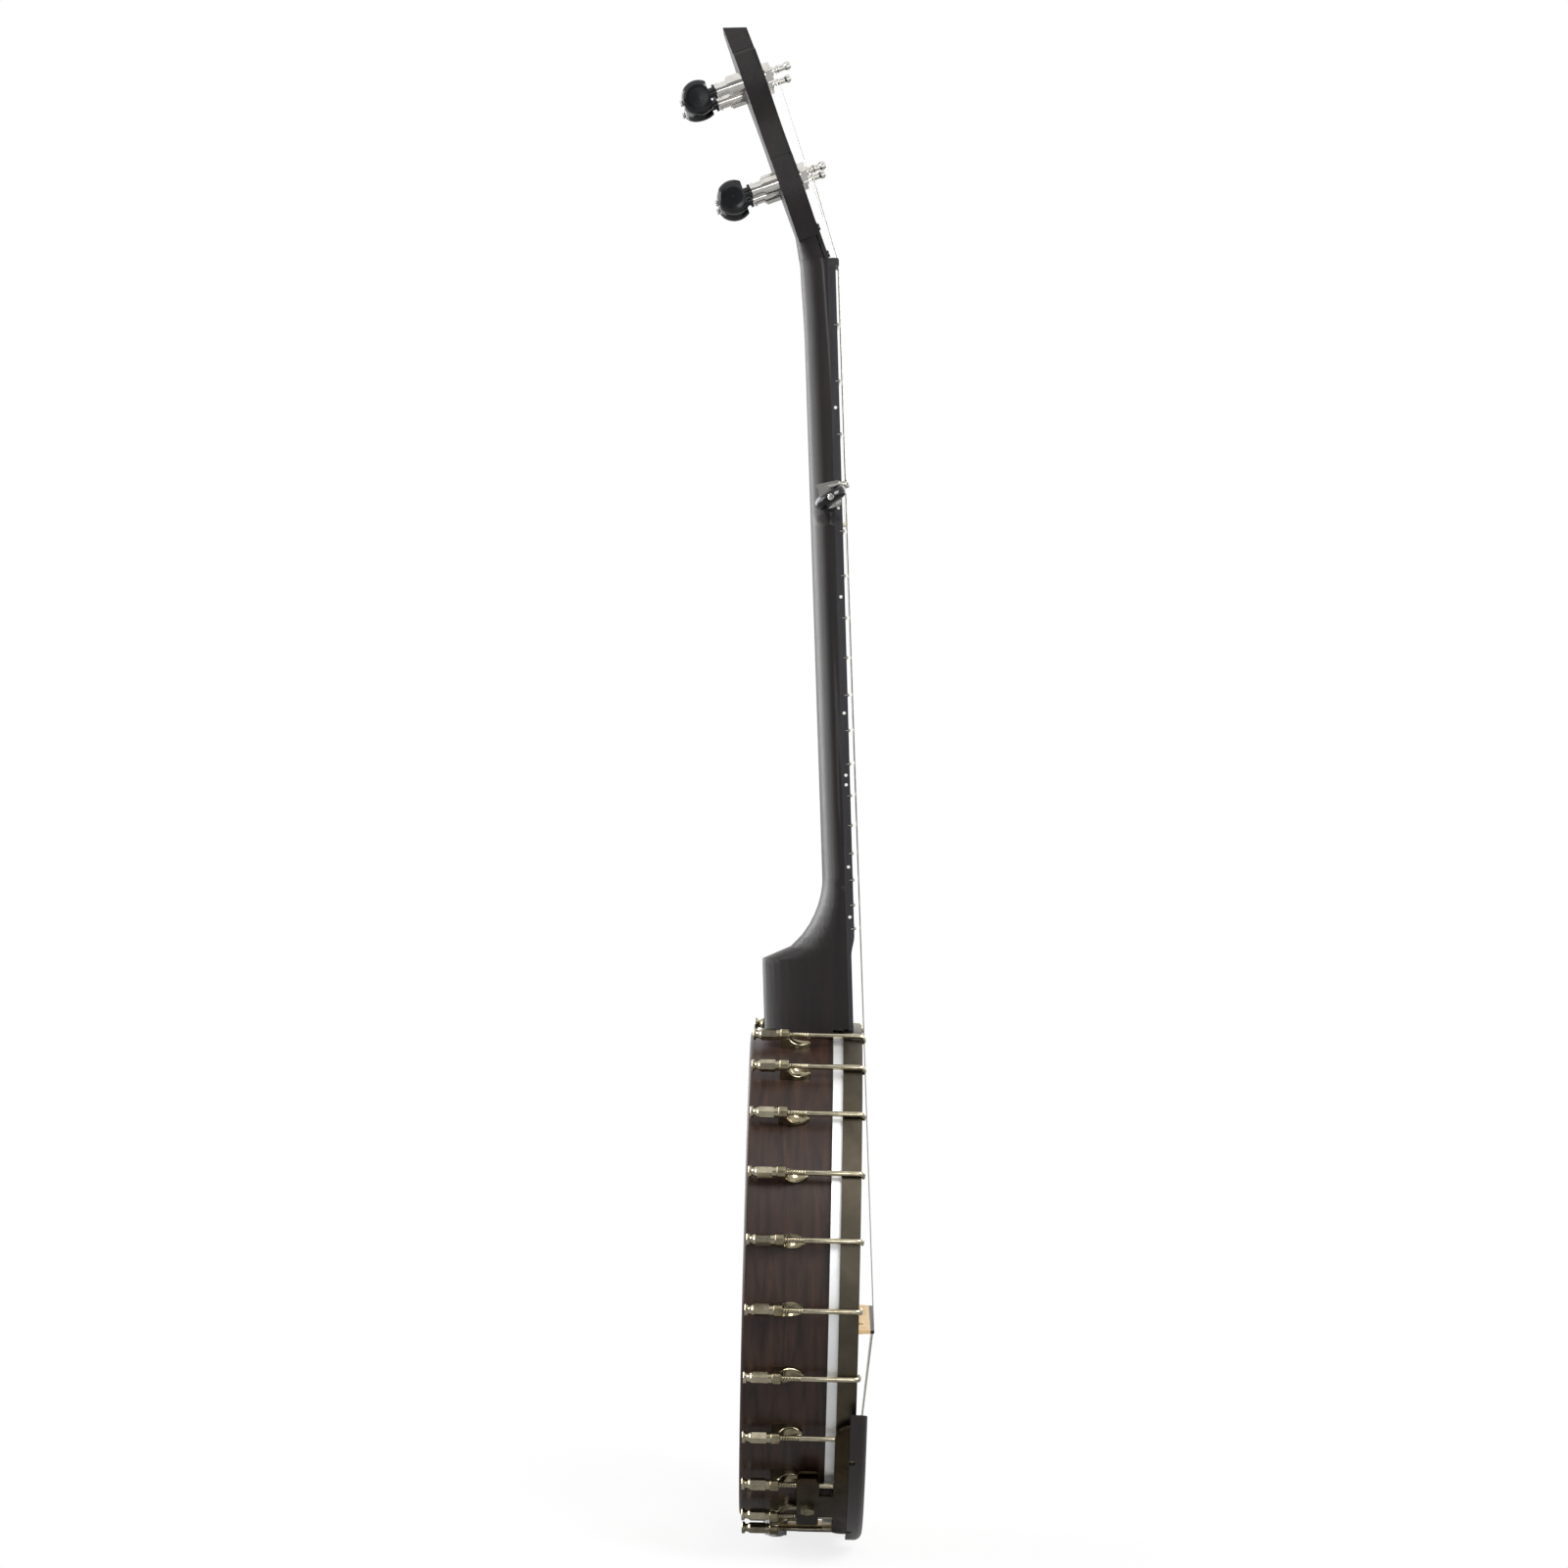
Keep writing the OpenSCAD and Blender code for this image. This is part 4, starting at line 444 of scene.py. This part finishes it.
# Neck: the CAD's carved shape with its facets welded into one smooth surface
NECK_WELD, NECK_FLAT, NECK_CREASE_DEG = 0.02 * MM, math.radians(0.3), 38
carved = welded_copy("neck", NECK_WELD)
bmesh.ops.dissolve_limit(carved, angle_limit=NECK_FLAT, verts=carved.verts, edges=carved.edges)
# Level cuts through the heel give its long facets enough corners to shade evenly
HEEL_CUTS, HEEL_CUT_STEP = 29, 3.5 * MM
for cut in range(1, HEEL_CUTS + 1):
    level = Vector((0, 0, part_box("neck")[0].z + cut * HEEL_CUT_STEP))
    bmesh.ops.bisect_plane(carved, geom=carved.verts[:] + carved.edges[:] + carved.faces[:],
                           plane_co=level, plane_no=(0, 0, 1))
neck = own_piece("carved_neck", carved, "stained_walnut_neck", "neck", NECK_CREASE_DEG)
neck.modifiers.new("even_shading", "WEIGHTED_NORMAL").keep_sharp = True

# Fifth peg's button and screw, turned about their own shaft to the angle at which they were left
PEG_SHAFT = next(Vector(j["pos_m"]) for j in frame["joints"] if j["name"] == "fifth_button_turn")
PEG_WELD, PEG_CREASE_DEG = 0.002 * MM, 30
LEFT_AT = Matrix.Rotation(math.radians(35), 3, "X")
for node, finish, slot in (("peg5_button", "black_abs", "button_black"),
                           ("peg5_screw", "nickel_plate", "nickel")):
    turned_copy = welded_copy(node, PEG_WELD)
    bmesh.ops.rotate(turned_copy, verts=turned_copy.verts, cent=PEG_SHAFT, matrix=LEFT_AT)
    own_piece("left_at_an_angle_" + node, turned_copy, finish, node, PEG_CREASE_DEG,
              "fifth_button")

# The tension system stands on every station round the pot but the top and the bottom one
HOOK_STEPS = 12
HOOK_ANGLES = [side * step * math.pi / HOOK_STEPS
               for step in range(1, HOOK_STEPS) for side in (1, -1)]

# Hooks: round rods, threaded in front of the shoes, bent over the hoop and flattened into its groove
HOOP_LOW, HOOP_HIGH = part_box("tension_hoop")
HOOKS_LOW, HOOKS_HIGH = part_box("hooks")
SHOES_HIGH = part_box("shoes")[1]
HOOK_CREASE_DEG, ROD_SIDES = 38, 14
ROD_RADIUS, ROD_END_EASE = 1.75 * MM, 0.2 * MM
CLAW_HALF, CLAW_HALF_THICK = 2.3 * MM, 1.05 * MM
HOOK_RADIUS = (HOOKS_HIGH.x - HOOKS_LOW.x) / 2 - CLAW_HALF
# The claw's tip goes down into the groove, which lies in from the hoop's outside
GROOVE_IN = 2.3 * MM
GROOVE_RADIUS = (HOOP_HIGH.x - HOOP_LOW.x) / 2 - GROOVE_IN
BEND_RADIUS, BEND_STEPS = 2.7 * MM, 8
TIP_RADIUS, TIP_STEPS = 1.1 * MM, 5
TIP_NARROWS, TIP_THINS = 0.3 * MM, 0.03 * MM
TIP_END, TIP_END_HALF, TIP_END_HALF_THICK = 1.2 * MM, 0.7 * MM, 0.8 * MM
# The thread starts a little inside the shoe's boss
BOSS_LENGTH, THREAD_INSIDE = 5.5 * MM, MM
# The real thread is about 0.8 mm; it is drawn at 1.6 mm so that it shows
THREAD_TURNS, THREAD_PITCH, THREAD_DEPTH = 8, 1.6 * MM, 0.45 * MM
# One turn of thread: share of the pitch, depth of the cut
THREAD_TURN = [(0.15, 0), (0.5, THREAD_DEPTH), (0.85, 0)]


def hook_stations():
    """Along a hook from nut to tip: depth, height over the pot's axis, direction, half width and
    half thickness."""
    claw_y = HOOKS_LOW.y + CLAW_HALF_THICK
    thread_back = SHOES_HIGH.y - BOSS_LENGTH + THREAD_INSIDE
    yield HOOKS_HIGH.y, HOOK_RADIUS, 0.0, ROD_RADIUS - ROD_END_EASE, ROD_RADIUS - ROD_END_EASE
    yield thread_back, HOOK_RADIUS, 0.0, ROD_RADIUS, ROD_RADIUS
    for k in range(THREAD_TURNS):
        for part, cut in THREAD_TURN:
            core = ROD_RADIUS - cut
            yield thread_back - (k + part) * THREAD_PITCH, HOOK_RADIUS, 0.0, core, core
    for k in range(BEND_STEPS + 1):
        share = k / BEND_STEPS
        turn = share * math.pi / 2
        yield (claw_y + BEND_RADIUS * (1 - math.sin(turn)),
               HOOK_RADIUS - BEND_RADIUS * (1 - math.cos(turn)),
               turn,
               ROD_RADIUS + (CLAW_HALF - ROD_RADIUS) * share ** 2,
               ROD_RADIUS + (CLAW_HALF_THICK - ROD_RADIUS) * share)
    for k in range(TIP_STEPS + 1):
        turn = k / TIP_STEPS * math.pi / 2
        yield (claw_y + TIP_RADIUS * (1 - math.cos(turn)),
               GROOVE_RADIUS + TIP_RADIUS * (1 - math.sin(turn)),
               math.pi / 2 + turn,
               CLAW_HALF - TIP_NARROWS * k,
               CLAW_HALF_THICK - TIP_THINS * k)
    yield HOOP_LOW.y + TIP_END, GROOVE_RADIUS, math.pi, TIP_END_HALF, TIP_END_HALF_THICK


def round_axes(angle):
    """Outward and along the rim, at an angle round the pot from its top."""
    return (Vector((-math.sin(angle), 0, math.cos(angle))),
            Vector((math.cos(angle), 0, math.sin(angle))))


def hook_rings(radial, along_rim):
    """One hook's rings, from nut to tip."""
    for depth, height, turn, wide, thick in hook_stations():
        centre = Vector((0, depth, POT_CENTRE_Z)) + radial * height
        outward = radial * math.cos(turn) + Vector((0, -math.sin(turn), 0))
        yield circle(centre, along_rim, outward, wide, thick, ROD_SIDES)


hooks = bmesh.new()
for angle in HOOK_ANGLES:
    sweep(hooks, hook_rings(*round_axes(angle)))
own_piece("threaded_hooks", hooks, "antique_brass_hooks", "hooks", HOOK_CREASE_DEG)

# Shoes: a boss for the hook, and a tongue swept down to the rim, hollowed between raised edges
SHOE_CREASE_DEG = 40
BOSS_RADIUS = SHOES_HIGH.x - HOOK_RADIUS
BOSS_SIDES, BOSS_EASE = 24, 0.45 * MM
BOSS_FRONT = SHOES_HIGH.y - BOSS_LENGTH
BOSS_STATIONS = [(SHOES_HIGH.y, BOSS_RADIUS - BOSS_EASE), (SHOES_HIGH.y - BOSS_EASE, BOSS_RADIUS),
                 (BOSS_FRONT + BOSS_EASE, BOSS_RADIUS), (BOSS_FRONT, BOSS_RADIUS - BOSS_EASE)]
# Along a tongue, in millimetres: distance from the shoe's back, half width, height of its edges and
# depth of its hollow
TONGUE = [(0.3, 3.6, 7.4, 0), (3, 3.8, 7.4, 0), (5.2, 3.9, 7.2, 0), (6, 4.0, 5.9, 0.2),
          (7, 4.2, 4.8, 0.5), (8.5, 4.4, 3.8, 0.9), (10.5, 4.4, 3.1, 1.2), (12.5, 4.1, 2.8, 1.3),
          (14.5, 3.5, 2.8, 1.3), (16.2, 2.8, 3.0, 1.2), (17.6, 1.9, 3.3, 0.9), (18.6, 1.0, 3.3, 0.3),
          (18.95, 0.5, 2.8, 0.05)]
# Across half a tongue, from its foot to its middle: shares of the half width, of the edge's height
# and of the hollow's depth
ACROSS = [(1.0, 0.0, 0.0), (1.0, 0.8, 0.0), (0.99, 0.93, 0.0), (0.93, 1.0, 0.0), (0.84, 0.98, 0.1),
          (0.7, 0.97, 0.5), (0.45, 0.97, 0.85), (0.0, 0.97, 1.0)]


def tongue_ring(radial, along_rim, station):
    """One section of a tongue, from one foot over the top to the other."""
    back, half, edge, hollow = (v * MM for v in station)
    right_side = [(half * w, edge * e - hollow * d) for w, e, d in ACROSS]
    left_side = [(-u, h) for u, h in right_side[-2::-1]]
    middle = Vector((0, SHOES_HIGH.y - back, POT_CENTRE_Z)) + radial * RIM_RADIUS
    return [middle + along_rim * u + radial * h for u, h in right_side + left_side]


def boss_ring(radial, along_rim, depth, radius):
    """One ring of a boss, round the hook's axis."""
    middle = Vector((0, depth, POT_CENTRE_Z)) + radial * HOOK_RADIUS
    return circle(middle, along_rim, radial, radius, radius, BOSS_SIDES)


shoes = bmesh.new()
for angle in HOOK_ANGLES:
    axes = round_axes(angle)
    sweep(shoes, [tongue_ring(*axes, station) for station in TONGUE])
    sweep(shoes, [boss_ring(*axes, depth, radius) for depth, radius in BOSS_STATIONS])
own_piece("swept_shoes", shoes, "antique_brass_shoes", "shoes", SHOE_CREASE_DEG)


# ---------------------------------------------------------------- studio

WHITE = (1, 1, 1, 1)
# What the lamps and the screen face
MIDDLE = Vector((0, 0, 0.4))


def stand_facing(thing, place, front):
    """Puts a lamp or a screen at its place, upright, with its front axis towards the banjo."""
    thing.location = place
    thing.rotation_mode = "QUATERNION"
    thing.rotation_quaternion = (MIDDLE - Vector(place)).to_track_quat(front, "Y")
    bpy.context.scene.collection.objects.link(thing)


def studio_floor(half_side, clear_from, clear_to):
    """A pale floor that keeps the shadow near the banjo and fades into white further out."""
    made, tree, out = new_finish("studio_floor")
    away = add(tree, "ShaderNodeVectorMath", {"operation": "LENGTH"},
               {0: straight(tree)}).outputs["Value"]
    whiteness = add(tree, "ShaderNodeMapRange", {"clamp": True},
                    {"Value": away, "From Min": clear_from, "From Max": clear_to,
                     "To Min": 0.8, "To Max": 1.0}).outputs[0]
    matt = add(tree, "ShaderNodeBsdfDiffuse", {}, {"Color": linear("#fdfdfd")})
    white = add(tree, "ShaderNodeEmission", {}, {"Color": WHITE, "Strength": 1.0})
    bounce = add(tree, "ShaderNodeBsdfDiffuse", {}, {"Color": linear("#a8a8a8")})
    seen = add(tree, "ShaderNodeLightPath").outputs["Is Camera Ray"]
    near_to_far = add(tree, "ShaderNodeMixShader", {},
                      {0: whiteness, 1: matt.outputs[0], 2: white.outputs[0]})
    shown = add(tree, "ShaderNodeMixShader", {},
                {0: seen, 1: bounce.outputs[0], 2: near_to_far.outputs[0]})
    tree.links.new(shown.outputs[0], out.inputs[0])
    plane = bpy.data.meshes.new("floor")
    build = bmesh.new()
    bmesh.ops.create_grid(build, x_segments=1, y_segments=1, size=half_side)
    build.to_mesh(plane)
    build.free()
    plane.materials.append(made)
    floor = bpy.data.objects.new("floor", plane)
    floor.location = (0, 0, CAD_BOX[0].z)
    bpy.context.scene.collection.objects.link(floor)


def painted_reflection_sheet(name, place, width, height, glow):
    """A dim grey sheet that glows and only shows in reflections: a painted dark reflection, as of the
    unlit end of a studio.
    """
    made, tree, out = new_finish(name)
    dim = add(tree, "ShaderNodeEmission", {}, {"Color": linear("#f4f4f6"), "Strength": glow})
    tree.links.new(dim.outputs[0], out.inputs[0])
    sheet = bpy.data.meshes.new(name)
    corners = [(x * width / 2, y * height / 2, 0) for x, y in ((-1, -1), (1, -1), (1, 1), (-1, 1))]
    sheet.from_pydata(corners, [], [(0, 1, 2, 3)])
    sheet.materials.append(made)
    flag = bpy.data.objects.new(name, sheet)
    for ray in ("camera", "diffuse", "shadow", "transmission"):
        setattr(flag, "visible_" + ray, False)
    stand_facing(flag, place, "Z")


def studio_air(ambience):
    """A world that is white to the camera and in gloss and glass, and dim as a light."""
    world = bpy.data.worlds.new("studio")
    bpy.context.scene.world = world
    world.use_nodes = True
    tree = world.node_tree
    tree.nodes.clear()
    rays = add(tree, "ShaderNodeLightPath").outputs
    mirrored = add(tree, "ShaderNodeMath", {"operation": "MAXIMUM"},
                   {0: rays["Is Glossy Ray"], 1: rays["Is Transmission Ray"]})
    showing = add(tree, "ShaderNodeMath", {"operation": "MAXIMUM"},
                  {0: rays["Is Camera Ray"], 1: mirrored.outputs[0]})
    backdrop = add(tree, "ShaderNodeBackground", {}, {"Color": WHITE, "Strength": 1.0})
    ambient = add(tree, "ShaderNodeBackground", {},
                  {"Color": linear("#f4f6fa"), "Strength": ambience})
    sky = add(tree, "ShaderNodeMixShader", {},
              {0: showing.outputs[0], 1: ambient.outputs[0], 2: backdrop.outputs[0]})
    add(tree, "ShaderNodeOutputWorld", {}, {"Surface": sky.outputs[0]})


def softbox(name, place, width, height, watts):
    """A rectangular area lamp."""
    lamp = bpy.data.lights.new(name, "AREA")
    lamp.shape = "RECTANGLE"
    lamp.size, lamp.size_y = width, height
    lamp.energy = watts
    stand_facing(bpy.data.objects.new(name, lamp), place, "-Z")


studio_floor(half_side=6.0, clear_from=0.08, clear_to=0.4)
# A glowing sheet behind the camera paints a dim grey reflection into glossy surfaces, in place of the
# white world
painted_reflection_sheet("painted_reflection_sheet", (-3.4, 0.2, 0.6), width=4.6, height=4.0, glow=0.3)
studio_air(ambience=0.16)
softbox("key_softbox", (-1.5, -1.3, 1.9), width=1.4, height=1.4, watts=62)
softbox("fill_softbox", (1.8, -1.2, 1.2), width=1.4, height=1.4, watts=14)
softbox("back_strip", (1.2, 1.5, 0.6), width=0.9, height=2.0, watts=30)
softbox("front_strip", (-2.9, -0.45, 0.5), width=0.35, height=1.8, watts=8)
softbox("back_wall", (-0.1, 2.3, 0.8), width=3.0, height=2.2, watts=80)

# Camera: level with the neck, off the bass side, a little turned and tipped; its place is in metres
# and its angles are in radians
CAMERA_PLACE = Vector((-2.6, 0.00352, 0.52111))
YAW, PITCH, ROLL = 0.00466, -0.0225, -0.02294
SENSOR_MM, FOCAL_MM = 36.0, 94.28625


def turned(vector, axis, angle):
    """A vector turned about an axis by an angle in radians."""
    return Matrix.Rotation(angle, 3, axis) @ vector


ahead, right, up = Vector((1, 0, 0)), Vector((0, -1, 0)), Vector((0, 0, 1))
ahead, right = turned(ahead, up, YAW), turned(right, up, YAW)
ahead, up = turned(ahead, right, PITCH), turned(up, right, PITCH)
right, up = turned(right, ahead, ROLL), turned(up, ahead, ROLL)
lens = bpy.data.cameras.new("side_camera")
lens.sensor_width, lens.lens = SENSOR_MM, FOCAL_MM
lens.clip_start, lens.clip_end = 0.01, 60
camera = bpy.data.objects.new("side_camera", lens)
facing = Matrix((right, up, -ahead)).transposed().to_4x4()
camera.matrix_world = Matrix.Translation(CAMERA_PLACE) @ facing
bpy.context.scene.collection.objects.link(camera)
bpy.context.scene.camera = camera

bpy.context.scene.view_settings.view_transform = "Standard"
